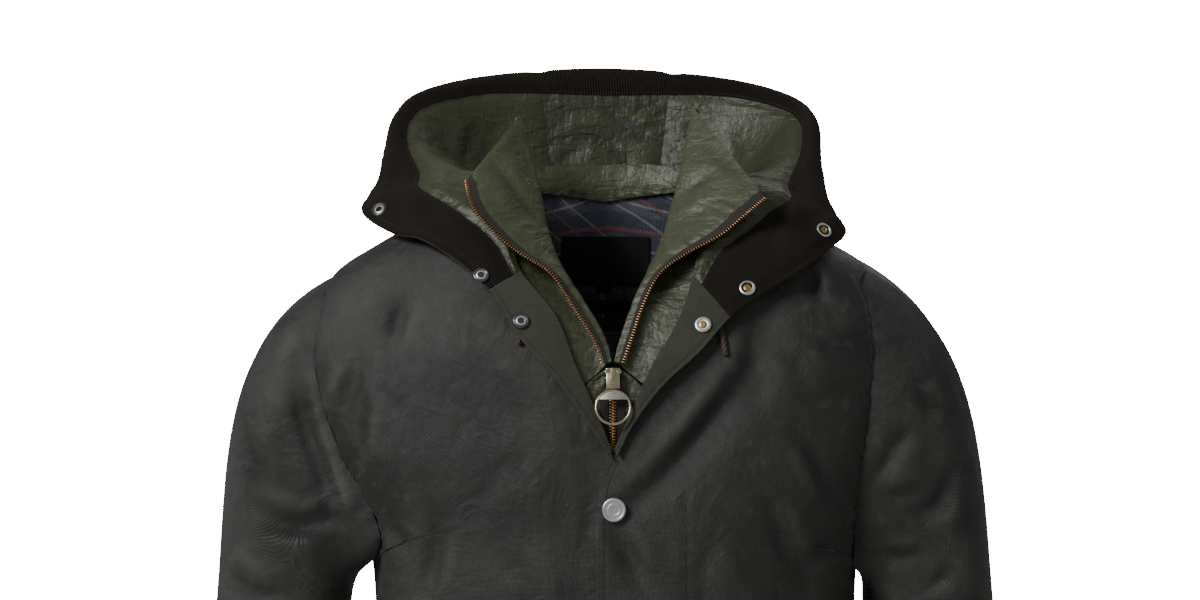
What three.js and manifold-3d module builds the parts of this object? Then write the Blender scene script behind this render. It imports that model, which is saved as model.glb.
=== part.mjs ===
import * as THREE from 'three';
import * as BufferGeometryUtils from 'three/addons/utils/BufferGeometryUtils.js';
import Module from 'manifold-3d';

// A hooded waxed cotton jacket in its worn form, hollow, in millimetres.
// X runs to the wearer's left, Y to the back and Z up. The origin is between the shoulders.

// Cloth walls and the gap between pieces
const WAX = 1.4;
const FACING = 1.1;
const CORDUROY = 1.5;
const NYLON = 1.2;
const LINING = 1.2;
const SEAM = 0.3;

// Lengths of the garment
const HEM_Z = -760;
const CUFF_Z = -722;
const NECK_HALF = 95;
const NECK_TOP_Z = -5;
const NECK_BACK_DROP = 15;

// Torso sections: centre and half width along X, depth to front and back, squareness
const TORSO = [
  { z: HEM_Z, centre: 9, half: 236, front: 136, back: 118, square: 2.5 },
  { z: -560, centre: 9, half: 228, front: 134, back: 114, square: 2.5 },
  { z: -400, centre: 9, half: 222, front: 132, back: 114, square: 2.5 },
  { z: -340, centre: 8, half: 226, front: 132, back: 116, square: 2.6 },
  { z: -284, centre: 3, half: 243, front: 130, back: 117, square: 2.8 },
  { z: -250, centre: 0, half: 255, front: 127, back: 116, square: 3.0 },
  { z: -170, centre: -2, half: 277, front: 116, back: 110, square: 3.0 },
  { z: -120, centre: 0, half: 268, front: 101, back: 100, square: 2.8 },
  { z: -90, centre: 0, half: 250, front: 88, back: 91, square: 2.6 },
  { z: -60, centre: 0, half: 205, front: 76, back: 84, square: 2.4 },
  { z: -30, centre: 0, half: 150, front: 64, back: 77, square: 2.2 },
  { z: NECK_TOP_Z, centre: 0, half: NECK_HALF, front: 50, back: 72, square: 2.1 },
];

// Front edge of each front: hem to V point, then the roll line up to the shoulder
const FRONT_EDGE = {
  left: [
    { at: 0, x: -8.6, z: HEM_Z }, { at: 0.2, x: -8.6, z: -560 }, { at: 0.39, x: -8.6, z: -325 },
    { at: 0.45, x: -6, z: -288 }, { at: 0.5, x: 9, z: -249 }, { at: 0.56, x: 25, z: -213 },
    { at: 0.63, x: 42, z: -175 }, { at: 0.7, x: 65, z: -136 }, { at: 0.78, x: 79, z: -95 },
    { at: 0.84, x: 86, z: -62 }, { at: 0.9, x: 93, z: -34 }, { at: 0.96, x: 97, z: -13 },
    { at: 1, x: NECK_HALF, z: NECK_TOP_Z },
  ],
  right: [
    { at: 0, x: 34, z: HEM_Z }, { at: 0.2, x: 34, z: -560 }, { at: 0.39, x: 32, z: -325 },
    { at: 0.45, x: 22, z: -288 }, { at: 0.5, x: 4, z: -249 }, { at: 0.56, x: -10, z: -213 },
    { at: 0.63, x: -27, z: -175 }, { at: 0.7, x: -45, z: -131 }, { at: 0.78, x: -77, z: -91 },
    { at: 0.84, x: -85, z: -62 }, { at: 0.9, x: -93, z: -34 }, { at: 0.96, x: -97, z: -13 },
    { at: 1, x: -NECK_HALF, z: NECK_TOP_Z },
  ],
};
const HOOD_START = 0.78;

// Armhole seams from the armpit to the shoulder: distance from X = 0, front and back
const RIDGE = 999;
const ARMHOLE = {
  left: [
    { at: 0, z: -364, front: RIDGE, back: RIDGE }, { at: 0.06, z: -359, front: 224, back: 226 },
    { at: 0.16, z: -340, front: 226, back: 220 }, { at: 0.28, z: -308, front: 228, back: 218 },
    { at: 0.4, z: -272, front: 231, back: 222 }, { at: 0.55, z: -230, front: 237, back: 228 },
    { at: 0.7, z: -186, front: 242, back: 230 }, { at: 0.85, z: -140, front: 242, back: 228 },
    { at: 0.94, z: -103, front: 232, back: 226 }, { at: 1, z: -76, front: RIDGE, back: RIDGE },
  ],
  right: [
    { at: 0, z: -356, front: RIDGE, back: RIDGE }, { at: 0.06, z: -350, front: 207, back: 207 },
    { at: 0.16, z: -326, front: 204, back: 202 }, { at: 0.28, z: -296, front: 218, back: 207 },
    { at: 0.4, z: -262, front: 239, back: 216 }, { at: 0.55, z: -224, front: 254, back: 226 },
    { at: 0.7, z: -188, front: 263, back: 232 }, { at: 0.85, z: -150, front: 265, back: 236 },
    { at: 0.94, z: -118, front: 259, back: 240 }, { at: 1, z: -93, front: RIDGE, back: RIDGE },
  ],
};

// Sleeve sections below the armpit
const SLEEVE = {
  left: [
    { z: -395, x: 299, halfX: 60.5, y: -6, halfY: 60 },
    { z: -480, x: 303, halfX: 61.5, y: -12, halfY: 61 },
    { z: -560, x: 307, halfX: 62, y: -19, halfY: 59 },
    { z: -640, x: 314, halfX: 59, y: -29, halfY: 57 },
    { z: CUFF_Z, x: 322, halfX: 54, y: -40, halfY: 53 },
  ],
  right: [
    { z: -395, x: -298, halfX: 62.5, y: -6, halfY: 61 },
    { z: -480, x: -303, halfX: 63, y: -12, halfY: 61 },
    { z: -560, x: -308, halfX: 62, y: -19, halfY: 59 },
    { z: -640, x: -315, halfX: 59, y: -29, halfY: 57 },
    { z: CUFF_Z, x: -323, halfX: 54, y: -40, halfY: 53 },
  ],
};

// Largest folds on the fronts: a soft trough (depth > 0) or ridge between two points
const FOLDS = [
  { x0: 27, z0: -298, x1: 134, z1: -196, width: 16, depth: 5 },
  { x0: 134, z0: -196, x1: 146, z1: -130, width: 14, depth: 4 },
  { x0: 182, z0: -92, x1: 196, z1: -114, width: 13, depth: 5 },
  { x0: 12, z0: -322, x1: 40, z1: -372, width: 12, depth: 4 },
  { x0: -180, z0: -110, x1: -192, z1: -152, width: 14, depth: 4 },
  { x0: -220, z0: -176, x1: -236, z1: -232, width: 14, depth: 4 },
  { x0: -150, z0: -316, x1: -162, z1: -384, width: 15, depth: 4 },
  { x0: 150, z0: -420, x1: 60, z1: -560, width: 20, depth: 4 },
  { x0: -70, z0: -440, x1: -170, z1: -600, width: 22, depth: 4 },
];

// The same kind of folds on the back, seen from the front
const BACK_FOLDS = [
  { x0: -205, z0: -200, x1: -110, z1: -320, width: 22, depth: 5 },
  { x0: 210, z0: -190, x1: 115, z1: -330, width: 20, depth: 5 },
  { x0: -150, z0: -400, x1: 20, z1: -520, width: 24, depth: 4 },
  { x0: 160, z0: -470, x1: -30, z1: -620, width: 24, depth: 4 },
];

// Hood and lapel stations from the V point to the back centre. root below 1 is a place on the
// front edge and above 1 on the back neck. rim is the free edge, band the start of the rim band,
// bag and roll push the cloth out near the neck and near the rim.
const HOOD = {
  right: [
    { root: 0.5, rim: [5, -257], lift: 4, band: 0.2 },
    { root: 0.56, rim: [-18, -224], lift: 6, band: 0.2 },
    { root: 0.63, rim: [-47, -185], lift: 8, band: 0.2 },
    { root: 0.7, rim: [-75, -154], lift: 9, band: 0.2 },
    { root: 0.78, rim: [-104, -111], lift: 10, band: 0.24 },
    { root: 0.84, rim: [-132, -86], lift: 12, band: 0.3 },
    { root: 0.9, rim: [-165, -69], lift: 15, band: 0.42 },
    { root: 0.95, rim: [-196, -46, -54], bag: [2, -8, 6], roll: [0, -6, 6], band: 0.5 },
    { root: 0.985, rim: [-224, -20, -36], bag: [0, -4, 10], roll: [-4, -4, 10], band: 0.56 },
    { root: 1.015, rim: [-219, 2, -19], bag: [-2, 3, 7], roll: [-7, -2, 9], band: 0.6 },
    { root: 1.05, rim: [-212, 24, -2], bag: [-4, 10, 4], roll: [-10, 0, 8], band: 0.63 },
    { root: 1.16, rim: [-208, 74, 28], bag: [-6, 30, -30], roll: [-36, 2, 44], band: 0.68 },
    { root: 1.26, rim: [-198, 104, 46], bag: [-12, 44, -60], roll: [-46, 4, 84], band: 0.69 },
    { root: 1.38, rim: [-176, 130, 61], bag: [-16, 58, -94], roll: [-39, 8, 115], band: 0.69 },
    { root: 1.66, rim: [-115, 168, 69], bag: [-12, 84, -140], roll: [-20, -4, 156], band: 0.69 },
    { root: 2, rim: [0, 190, 78], bag: [0, 78, -202], roll: [0, -22, 172], band: 0.69 },
  ],
  left: [
    { root: 0.5, rim: [11, -256], lift: 4, band: 0.2 },
    { root: 0.56, rim: [25, -228], lift: 6, band: 0.2 },
    { root: 0.63, rim: [51, -194], lift: 8, band: 0.2 },
    { root: 0.7, rim: [83, -165], lift: 9, band: 0.2 },
    { root: 0.78, rim: [111, -135], lift: 10, band: 0.24 },
    { root: 0.84, rim: [140, -115], lift: 12, band: 0.3 },
    { root: 0.9, rim: [175, -95], lift: 15, band: 0.42 },
    { root: 0.95, rim: [203, -46, -70], bag: [-2, -8, 6], roll: [0, -6, 6], band: 0.5 },
    { root: 0.985, rim: [221, -26, -55], bag: [0, -4, 12], roll: [4, -4, 12], band: 0.57 },
    { root: 1.015, rim: [213, -9, -37], bag: [2, 3, 9], roll: [7, -2, 11], band: 0.6 },
    { root: 1.05, rim: [206, 10, -18], bag: [4, 10, 6], roll: [11, 0, 12], band: 0.63 },
    { root: 1.16, rim: [203, 68, 17], bag: [6, 30, -34], roll: [38, 0, 49], band: 0.68 },
    { root: 1.26, rim: [199, 102, 41], bag: [12, 44, -60], roll: [46, 4, 83], band: 0.69 },
    { root: 1.38, rim: [176, 130, 57], bag: [16, 58, -94], roll: [42, 8, 113], band: 0.69 },
    { root: 1.66, rim: [116, 168, 67], bag: [12, 84, -140], roll: [21, -4, 154], band: 0.69 },
    { root: 2, rim: [0, 190, 78], bag: [0, 78, -202], roll: [0, -22, 172], band: 0.69 },
  ],
};
const CENTRE_PANEL = 0.963;

// Inner collar, turned out: fold is its fold line and zip the edge that carries the zip
const COLLAR = {
  right: [
    { root: 0.6, fold: [4.5, -112, -173], zip: [-2, -120, -172] },
    { root: 0.66, fold: [-2, -102, -150], zip: [-9, -115, -152] },
    { root: 0.72, fold: [-22, -89, -116], zip: [-31, -104, -117] },
    { root: 0.78, fold: [-36, -75, -97], zip: [-50, -99, -91] },
    { root: 0.86, fold: [-48, -58, -72], zip: [-80, -93, -72] },
    { root: 0.94, fold: [-57, -38, -42], zip: [-105, -87, -51] },
    { root: 1.0, fold: [-66, -16, -2], zip: [-121, -77, -30] },
    { root: 1.08, fold: [-82, 10, 54], zip: [-127, -54, -8] },
  ],
  left: [
    { root: 0.6, fold: [9, -112, -173], zip: [15, -120, -172] },
    { root: 0.66, fold: [15, -102, -150], zip: [22, -115, -152] },
    { root: 0.72, fold: [28, -89, -116], zip: [34, -104, -117] },
    { root: 0.78, fold: [38, -75, -97], zip: [49, -99, -91] },
    { root: 0.86, fold: [49, -58, -72], zip: [73, -94, -74] },
    { root: 0.94, fold: [60, -38, -42], zip: [103, -93, -58] },
    { root: 1.0, fold: [71, -16, 0], zip: [123, -88, -42] },
    { root: 1.08, fold: [84, 10, 62], zip: [145, -74, -24] },
  ],
};
const FOLD_HALF = 2.6;
const COLLAR_ROOT_LIFT = -WAX - SEAM - 1.5;
const COLLAR_ROWS = 13;
const BACK_BAND = { start: 0.2, lift: -WAX - SEAM - NYLON - 1.6, low: 9, high: 35, lean: 4 };

// Small extra clearances between curved faces made of flats
const HOOD_CLEAR = 0.3;
const SEAT_CLEAR = 0.15;
const PATCH_CLEAR = 0.9;
const QUILT_RISE = 1.4;

// Zip, slider and ring pull
const ZIP_STAND = 3.4;
const TAPE_STAND = 1.4;
const TAPE_LIFT = 0.5;
const TAPE = 0.6;
const CHAIN_WIDTH = 3.4;
const CHAIN_DEPTH = 2.2;
const ZIP_PLANE = { shallow: 2.1, deep: 7.4, highZ: 202, lowZ: 236 };
const CLOSED_ZIP = { top: -192, bottom: -738, width: 7.4 };
const PLACKET = {
  outerTop: -198, innerTop: -178, bottom: -262, besideSlider: 7.4, besideChain: 4.2, least: 16, under: 5,
};
const SLIDER = { x: 6.6, y: -116.4, z: -183.8, width: 13.9, height: 14.6, depth: 8.2 };
const BRIDGE = { top: 6.8, bottom: -6.8, reach: 5.6, width: 3.8, bar: 1.4 };
const HINGE = { y: -122.9, z: -180.1, hang: 15 };
const LINK = {
  width: 12.2, rise: 0.9, drop: 15.6, thick: 1.8, bar: 1.8, slotWidth: 6, slotDrop: 13.4,
  barrel: 3.8, barrelLength: 4.2,
};
const RING = { outer: 33, wire: 2.4, plateRise: 6.9, plate: 1.5 };

// Inside of the back neck
const NECK_LINING = { firstRow: 10, margin: 7, topShare: 0.82 };
const LABEL = { width: 83.7, height: 46.4, top: -54.3, thick: 0.8 };
const SIZE_TAB = { x: -1.6, width: 14.3, height: 6.8, thick: 0.6 };
const LOOP_STRIP = { width: 54.4, height: 12.5, x: 3, top: -115, thick: 1.6 };

// Studs down the flap, snaps on the hood and the ends of the hood's drawcord
const STUD = { diameter: 21.6, height: 3.2, x: 7.4, firstZ: -302.7, pitch: 112, count: 4 };
const SNAP = { diameter: 15, height: 2.2 };
const SNAP_SEARCH = 0.62;
const SNAPS = {
  right: [{ x: -207, z: -36, clear: 0.15 }, { x: -112.2, z: -94.4, clear: 0.15 },
    { x: -74.9, z: -137.5, clear: 0.15 }],
  left: [{ x: 198.7, z: -53.6, clear: 0.5 }, { x: 128.8, z: -105.2, clear: 0.15 },
    { x: 90, z: -137.5, clear: 0.15 }],
};
const CORD_DIAMETER = 5;
const CORD_ENDS = {
  right: { x0: -80, z0: -124, x1: -77, z1: -157, clear: 0.2 },
  left: { x0: 99, z0: -128, x1: 107.6, z1: -167, clear: 0.2 },
};

const PALETTE = {
  wax: { color: 0x34342f, roughness: 0.62, metalness: 0 },
  facing: { color: 0x33352a, roughness: 0.85, metalness: 0 },
  corduroy: { color: 0x15130f, roughness: 0.95, metalness: 0 },
  nylon: { color: 0x3c412f, roughness: 0.5, metalness: 0 },
  check: { color: 0x2f333d, roughness: 0.9, metalness: 0 },
  tape: { color: 0x2a2420, roughness: 0.9, metalness: 0 },
  brass: { color: 0x9a7a4e, roughness: 0.35, metalness: 1 },
  antique: { color: 0xa59c86, roughness: 0.35, metalness: 1 },
  steel: { color: 0x8f9396, roughness: 0.3, metalness: 1 },
  label: { color: 0x0c0c0d, roughness: 0.8, metalness: 0 },
  cord: { color: 0x33241f, roughness: 0.8, metalness: 0 },
};

const jacket = new THREE.Group();

function add(name, geometry, finish) {
  const mesh = new THREE.Mesh(geometry, new THREE.MeshStandardMaterial(PALETTE[finish]));
  mesh.name = name;
  jacket.add(mesh);
  return mesh;
}

// Smooth value of one column of a table at a key, without overshoot between rows
function column(rows, key, name, at) {
  const rising = rows[0][key] < rows[rows.length - 1][key];
  const list = rising ? rows : [...rows].reverse();
  let k = 0;
  while (k < list.length - 2 && at > list[k + 1][key]) {
    k += 1;
  }
  const slope = (i) => (list[i + 1][name] - list[i][name]) / (list[i + 1][key] - list[i][key]);
  const tangent = (i) => {
    if (i === 0 || i === list.length - 1) {
      return slope(Math.min(i, list.length - 2));
    }
    const before = slope(i - 1);
    const after = slope(i);
    return before * after <= 0 ? 0 : (2 * before * after) / (before + after);
  };
  const span = list[k + 1][key] - list[k][key];
  const t = THREE.MathUtils.clamp((at - list[k][key]) / span, 0, 1);
  const t2 = t * t;
  const t3 = t2 * t;
  return (
    (2 * t3 - 3 * t2 + 1) * list[k][name] + (t3 - 2 * t2 + t) * span * tangent(k) +
    (3 * t2 - 2 * t3) * list[k + 1][name] + (t3 - t2) * span * tangent(k + 1)
  );
}

function sectionAt(z) {
  const names = ['centre', 'half', 'front', 'back', 'square'];
  return Object.fromEntries(names.map((name) => [name, column(TORSO, 'z', name, z)]));
}

const signedPower = (value, power) => Math.sign(value) * Math.abs(value) ** power;

// Point of the torso at an angle from the front centre, positive to +X
function torsoPlain(angle, z) {
  const s = sectionAt(z);
  const side = signedPower(Math.sin(angle), 2 / s.square);
  const depth = signedPower(Math.cos(angle), 2 / s.square);
  return new THREE.Vector3(s.centre + s.half * side, -depth * (depth > 0 ? s.front : s.back), z);
}

function angleOf(x, z, back = false) {
  const s = sectionAt(z);
  const ratio = THREE.MathUtils.clamp((x - s.centre) / s.half, -1, 1);
  const angle = Math.asin(signedPower(ratio, s.square / 2));
  return back ? Math.sign(x || 1) * Math.PI - angle : angle;
}

const STEP = 0.01;

function normalOf(surface, u, v, stepU = STEP, stepV = STEP) {
  const alongU = surface(u + stepU, v).sub(surface(u - stepU, v));
  const alongV = surface(u, v + stepV).sub(surface(u, v - stepV));
  return alongU.cross(alongV).normalize();
}

function foldDepth(folds, x, z) {
  let sum = 0;
  for (const f of folds) {
    const alongX = f.x1 - f.x0;
    const alongZ = f.z1 - f.z0;
    const reach = alongX * alongX + alongZ * alongZ;
    const raw = ((x - f.x0) * alongX + (z - f.z0) * alongZ) / reach;
    const t = THREE.MathUtils.clamp(raw, 0, 1);
    const away = Math.hypot(x - f.x0 - t * alongX, z - f.z0 - t * alongZ);
    sum += f.depth * Math.exp(-((away / f.width) ** 2)) * (0.55 + 0.45 * Math.sin(Math.PI * t));
  }
  return sum;
}

function torsoNormal(angle, z) {
  return normalOf(torsoPlain, angle, z, STEP, 0.5);
}

// The same point with the folds pressed in and moved out by a lift
function onTorso(angle, z, lift = 0) {
  const point = torsoPlain(angle, z);
  const folds = Math.abs(angle) > Math.PI / 2 ? BACK_FOLDS : FOLDS;
  const edge = THREE.MathUtils.smoothstep(Math.abs(Math.cos(angle)), 0.25, 0.6);
  const pressed = lift - foldDepth(folds, point.x, z) * edge;
  return point.addScaledVector(torsoNormal(angle, z), pressed);
}

// Closed wall between two offsets from a grid of points, along its normals
function wall(points, normals, low, high, round = false) {
  const rows = points.length;
  const cols = points[0].length;
  const offset = (value, i, j) => (typeof value === 'function' ? value(i, j) : value);
  const positions = [];
  for (const side of [low, high]) {
    for (let i = 0; i < rows; i += 1) {
      for (let j = 0; j < cols; j += 1) {
        const p = points[i][j].clone().addScaledVector(normals[i][j], offset(side, i, j));
        positions.push(p.x, p.y, p.z);
      }
    }
  }
  const layer = rows * cols;
  const id = (side, i, j) => side * layer + i * cols + (j % cols);
  const index = [];
  const quad = (a, b, c, d) => index.push(a, b, c, a, c, d);
  const spans = round ? cols : cols - 1;
  for (let i = 0; i < rows - 1; i += 1) {
    for (let j = 0; j < spans; j += 1) {
      quad(id(1, i, j), id(1, i + 1, j), id(1, i + 1, j + 1), id(1, i, j + 1));
      quad(id(0, i, j), id(0, i, j + 1), id(0, i + 1, j + 1), id(0, i + 1, j));
    }
  }
  for (let j = 0; j < spans; j += 1) {
    quad(id(0, 0, j), id(1, 0, j), id(1, 0, j + 1), id(0, 0, j + 1));
    quad(id(0, rows - 1, j + 1), id(1, rows - 1, j + 1), id(1, rows - 1, j), id(0, rows - 1, j));
  }
  if (!round) {
    for (let i = 0; i < rows - 1; i += 1) {
      quad(id(0, i + 1, 0), id(1, i + 1, 0), id(1, i, 0), id(0, i, 0));
      quad(id(0, i, cols - 1), id(1, i, cols - 1), id(1, i + 1, cols - 1), id(0, i + 1, cols - 1));
    }
  }
  return outward(new THREE.BufferGeometry(), positions, index);
}

// Turns the faces out when the enclosed volume comes out negative
function outward(geometry, positions, index) {
  let volume = 0;
  const at = (k) => new THREE.Vector3().fromArray(positions, 3 * k);
  for (let k = 0; k < index.length; k += 3) {
    volume += at(index[k]).dot(at(index[k + 1]).cross(at(index[k + 2])));
  }
  const faces = volume < 0 ? [...index].reverse() : index;
  geometry.setAttribute('position', new THREE.Float32BufferAttribute(positions, 3));
  geometry.setIndex(faces);
  return geometry;
}

// Pulls the outer rows of a grid in along the cloth, to open a seam
function trim(points, amount = SEAM / 2) {
  const pull = (outer, inner) => {
    const toward = inner.clone().sub(outer);
    outer.addScaledVector(toward.normalize(), amount);
  };
  const rows = points.length;
  const cols = points[0].length;
  for (let j = 0; j < cols; j += 1) {
    pull(points[0][j], points[1][j]);
    pull(points[rows - 1][j], points[rows - 2][j]);
  }
  for (let i = 0; i < rows; i += 1) {
    pull(points[i][0], points[i][1]);
    pull(points[i][cols - 1], points[i][cols - 2]);
  }
  return points;
}

function gridOf(rows, cols, make) {
  return Array.from({ length: rows + 1 }, (_, i) =>
    Array.from({ length: cols + 1 }, (__, j) => make(i / rows, j / cols, i, j)));
}

const isLeft = (side) => side === 'left';
const signOf = (side) => (isLeft(side) ? 1 : -1);

function frontEdge(side, at) {
  const rows = FRONT_EDGE[side];
  const x = column(rows, 'at', 'x', at);
  const z = column(rows, 'at', 'z', at);
  const angle = at >= 1 ? signOf(side) * Math.PI / 2 : angleOf(x, z);
  return { angle, z };
}

function armholeEdge(side, at, back = false) {
  const name = back ? 'back' : 'front';
  const angles = ARMHOLE[side].map((row) => {
    const angle = angleOf(signOf(side) * row[name], row.z, back);
    return { at: row.at, z: row.z, angle: back && row[name] === RIDGE ? signOf(side) * Math.PI / 2 : angle };
  });
  return { angle: column(angles, 'at', 'angle', at), z: column(angles, 'at', 'z', at) };
}

const ARMPIT_ROW = 0.42;

function sideEdge(side, at, back = false) {
  if (at >= ARMPIT_ROW) {
    return armholeEdge(side, (at - ARMPIT_ROW) / (1 - ARMPIT_ROW), back);
  }
  const angle = signOf(side) * Math.PI / 2;
  return { angle, z: THREE.MathUtils.lerp(HEM_Z, ARMHOLE[side][0].z, at / ARMPIT_ROW) };
}

// Rows of the body panels are closer together up the armhole
const PANEL_ROWS = 18;
const BACK_COLS = 22;
const BODY_ROWS = 6;
const ARMPIT_CROWD = 1.35;
const rowAt = (i) => (i <= BODY_ROWS
  ? (ARMPIT_ROW * i) / BODY_ROWS
  : ARMPIT_ROW + (1 - ARMPIT_ROW) * ((i - BODY_ROWS) / (PANEL_ROWS - BODY_ROWS)) ** ARMPIT_CROWD);

const UNDER_FLAP = 3.6;

function frontPanel(side) {
  const cols = 12;
  const places = gridOf(PANEL_ROWS, cols, (u, v, i) => {
    const at = rowAt(i);
    const inner = frontEdge(side, at);
    const outer = sideEdge(side, at);
    const angle = THREE.MathUtils.lerp(inner.angle, outer.angle, v);
    return { angle, z: THREE.MathUtils.lerp(inner.z, outer.z, v) };
  });
  const lift = (place) => {
    if (isLeft(side)) {
      return 0;
    }
    const x = torsoPlain(place.angle, place.z).x;
    const under = THREE.MathUtils.smoothstep(x, -64, -20);
    return -UNDER_FLAP * under * THREE.MathUtils.smoothstep(-place.z, 225, 262);
  };
  const points = places.map((row) => row.map((p) => onTorso(p.angle, p.z, lift(p))));
  const normals = places.map((row) => row.map((p) => torsoNormal(p.angle, p.z)));
  return add(`front_${side}`, wall(trim(points), normals, -WAX, 0), 'wax');
}

function backNeck(side, t) {
  const turn = (t * Math.PI) / 2;
  const x = signOf(side) * NECK_HALF * Math.cos(turn);
  const z = NECK_TOP_Z - NECK_BACK_DROP * (1 - Math.cos(turn));
  return { angle: t <= 0 ? signOf(side) * Math.PI / 2 : angleOf(x || signOf(side) * 1e-6, z, true), z };
}

// The back runs from one side over the centre to the other
function backPlaces() {
  const full = (angle) => (angle < 0 ? angle + 2 * Math.PI : angle);
  return gridOf(PANEL_ROWS, BACK_COLS, (u, v, i) => {
    const at = rowAt(i);
    const from = sideEdge('left', at, true);
    const to = sideEdge('right', at, true);
    const fromAngle = from.angle;
    const toAngle = full(to.angle);
    const bend = THREE.MathUtils.smoothstep(at, 0.5, 1);
    const side = v < 0.5 ? 'left' : 'right';
    const share = 1 - Math.abs(2 * v - 1);
    const lowAngle = THREE.MathUtils.lerp(fromAngle, toAngle, v);
    const lowZ = THREE.MathUtils.lerp(from.z, to.z, v);
    const neck = neckRow(side, share, side === 'left' ? from : to);
    return {
      angle: THREE.MathUtils.lerp(lowAngle, full(neck.angle), bend),
      z: THREE.MathUtils.lerp(lowZ, neck.z, bend),
    };
  });
}

// The lining of the back neck is made from the back's own points, moved in
function backPanel() {
  const places = backPlaces();
  const points = places.map((row) => row.map((p) => onTorso(wrap(p.angle), p.z)));
  const normals = places.map((row) => row.map((p) => torsoNormal(p.angle, p.z)));
  const middle = (rows) => rows.slice(NECK_LINING.firstRow)
    .map((row) => row.slice(NECK_LINING.margin, BACK_COLS + 1 - NECK_LINING.margin).map((p) => p.clone()));
  const inner = middle(points);
  const top = inner.length - 1;
  inner[top] = inner[top].map((p, j) => inner[top - 1][j].clone().lerp(p, NECK_LINING.topShare));
  add('back_neck_lining', wall(inner, middle(normals), -WAX - SEAM - LINING, -WAX - SEAM), 'check');
  add('back', wall(trim(points), normals, -WAX, 0), 'wax');
}

const wrap = (angle) => (angle > Math.PI ? angle - 2 * Math.PI : angle);
const SHOULDER_SHARE = 0.56;

// Top row of the back: the shoulder seam, then the back neck
function neckRow(side, share, tip) {
  if (share < SHOULDER_SHARE) {
    const t = share / SHOULDER_SHARE;
    const angle = THREE.MathUtils.lerp(tip.angle, signOf(side) * Math.PI / 2, t);
    return { angle, z: THREE.MathUtils.lerp(tip.z, NECK_TOP_Z, t) };
  }
  return backNeck(side, (share - SHOULDER_SHARE) / (1 - SHOULDER_SHARE));
}

const RING_POINTS = 2 * (PANEL_ROWS - BODY_ROWS);
const CAP_RINGS = 7;
const PIT_LIFT = 2.2;

function sleeveRing(side, z, k) {
  const rows = SLEEVE[side];
  const turn = (2 * Math.PI * k) / RING_POINTS;
  const value = (name) => column(rows, 'z', name, z);
  const out = signedPower(Math.cos(turn), 0.92) * signOf(side);
  const front = signedPower(Math.sin(turn), 0.92);
  return new THREE.Vector3(value('x') + value('halfX') * out, value('y') - value('halfY') * front, z);
}

function armholePoint(side, k) {
  const half = RING_POINTS / 2;
  const back = k > half;
  const at = (back ? (k - half) / half : 1 - k / half) ** ARMPIT_CROWD;
  const place = armholeEdge(side, at, back);
  const point = onTorso(place.angle, place.z);
  const pitLift = PIT_LIFT * (1 - THREE.MathUtils.smoothstep(at, 0.08, 0.3));
  return point.addScaledVector(torsoNormal(place.angle, place.z), pitLift);
}

function sleeve(side) {
  const centre = new THREE.Vector3();
  const hole = Array.from({ length: RING_POINTS }, (_, k) => armholePoint(side, k));
  const away = hole.map((p) => new THREE.Vector3(p.x, p.y * 1.2, 0).normalize());
  hole.forEach((p) => centre.addScaledVector(p, 1 / RING_POINTS));
  hole.forEach((p) => p.addScaledVector(centre.clone().sub(p).normalize(), 0.45));
  const topZ = SLEEVE[side][0].z;
  const points = [];
  for (let ring = 0; ring < CAP_RINGS; ring += 1) {
    const t = ring / CAP_RINGS;
    points.push(hole.map((start, k) => {
      const end = sleeveRing(side, topZ, k);
      const reach = start.distanceTo(end);
      const turn = (2 * Math.PI * k) / RING_POINTS;
      const top = (1 + Math.cos(turn)) / 2;
      const leave = new THREE.Vector3(signOf(side) * (0.35 + 0.55 * top), -0.12 * Math.sin(turn),
        -0.9 + 0.45 * top);
      leave.addScaledVector(away[k], 0.6 * (1 - top));
      const arrive = new THREE.Vector3(signOf(side) * -0.08, 0, 1);
      const c1 = start.clone().addScaledVector(leave.normalize(), 0.36 * reach);
      const c2 = end.clone().addScaledVector(arrive.normalize(), 0.42 * reach);
      return new THREE.CubicBezierCurve3(start, c1, c2, end).getPoint(t);
    }));
  }
  const lower = 5;
  for (let ring = 0; ring <= lower; ring += 1) {
    const z = THREE.MathUtils.lerp(topZ, CUFF_Z, ring / lower);
    points.push(Array.from({ length: RING_POINTS }, (_, k) => sleeveRing(side, z, k)));
  }
  const last = points.length - 1;
  const normals = points.map((row, i) => row.map((_, k) => {
    const before = points[Math.max(i - 1, 0)][k];
    const after = points[Math.min(i + 1, last)][k];
    const next = row[(k + 1) % RING_POINTS];
    const previous = row[(k + RING_POINTS - 1) % RING_POINTS];
    const normal = next.clone().sub(previous).cross(after.clone().sub(before)).normalize();
    return isLeft(side) ? normal : normal.negate();
  }));
  return add(`sleeve_${side}`, wall(points, normals, -WAX, 0, true), 'wax');
}

// Root of the hood and lapels: 0.5 to 1 along the front edge, 1 to 2 round the back neck
function rootPlace(side, root) {
  return root <= 1 ? frontEdge(side, root) : backNeck(side, root - 1);
}

const SHELL_LIFT = WAX + SEAM + 0.15;
const NECK_SHELL_LIFT = SHELL_LIFT + 1;

function stationCurve(side, station) {
  const place = rootPlace(side, station.root);
  const start = onTorso(place.angle, place.z, station.root > 0.88 ? NECK_SHELL_LIFT : SHELL_LIFT);
  if (station.rim.length === 2) {
    const [x, z] = station.rim;
    const at = (t) => {
      const px = THREE.MathUtils.lerp(start.x, x, t);
      const pz = THREE.MathUtils.lerp(place.z, z, t);
      return onTorso(angleOf(px, pz), pz, THREE.MathUtils.lerp(SHELL_LIFT, station.lift, t ** 0.7));
    };
    return [start, at(1 / 3), at(2 / 3), at(1)];
  }
  const rim = new THREE.Vector3(...station.rim);
  const c1 = start.clone().lerp(rim, 1 / 3).add(new THREE.Vector3(...station.bag));
  const c2 = start.clone().lerp(rim, 2 / 3).add(new THREE.Vector3(...station.roll));
  return [start, c1, c2, rim];
}

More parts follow.
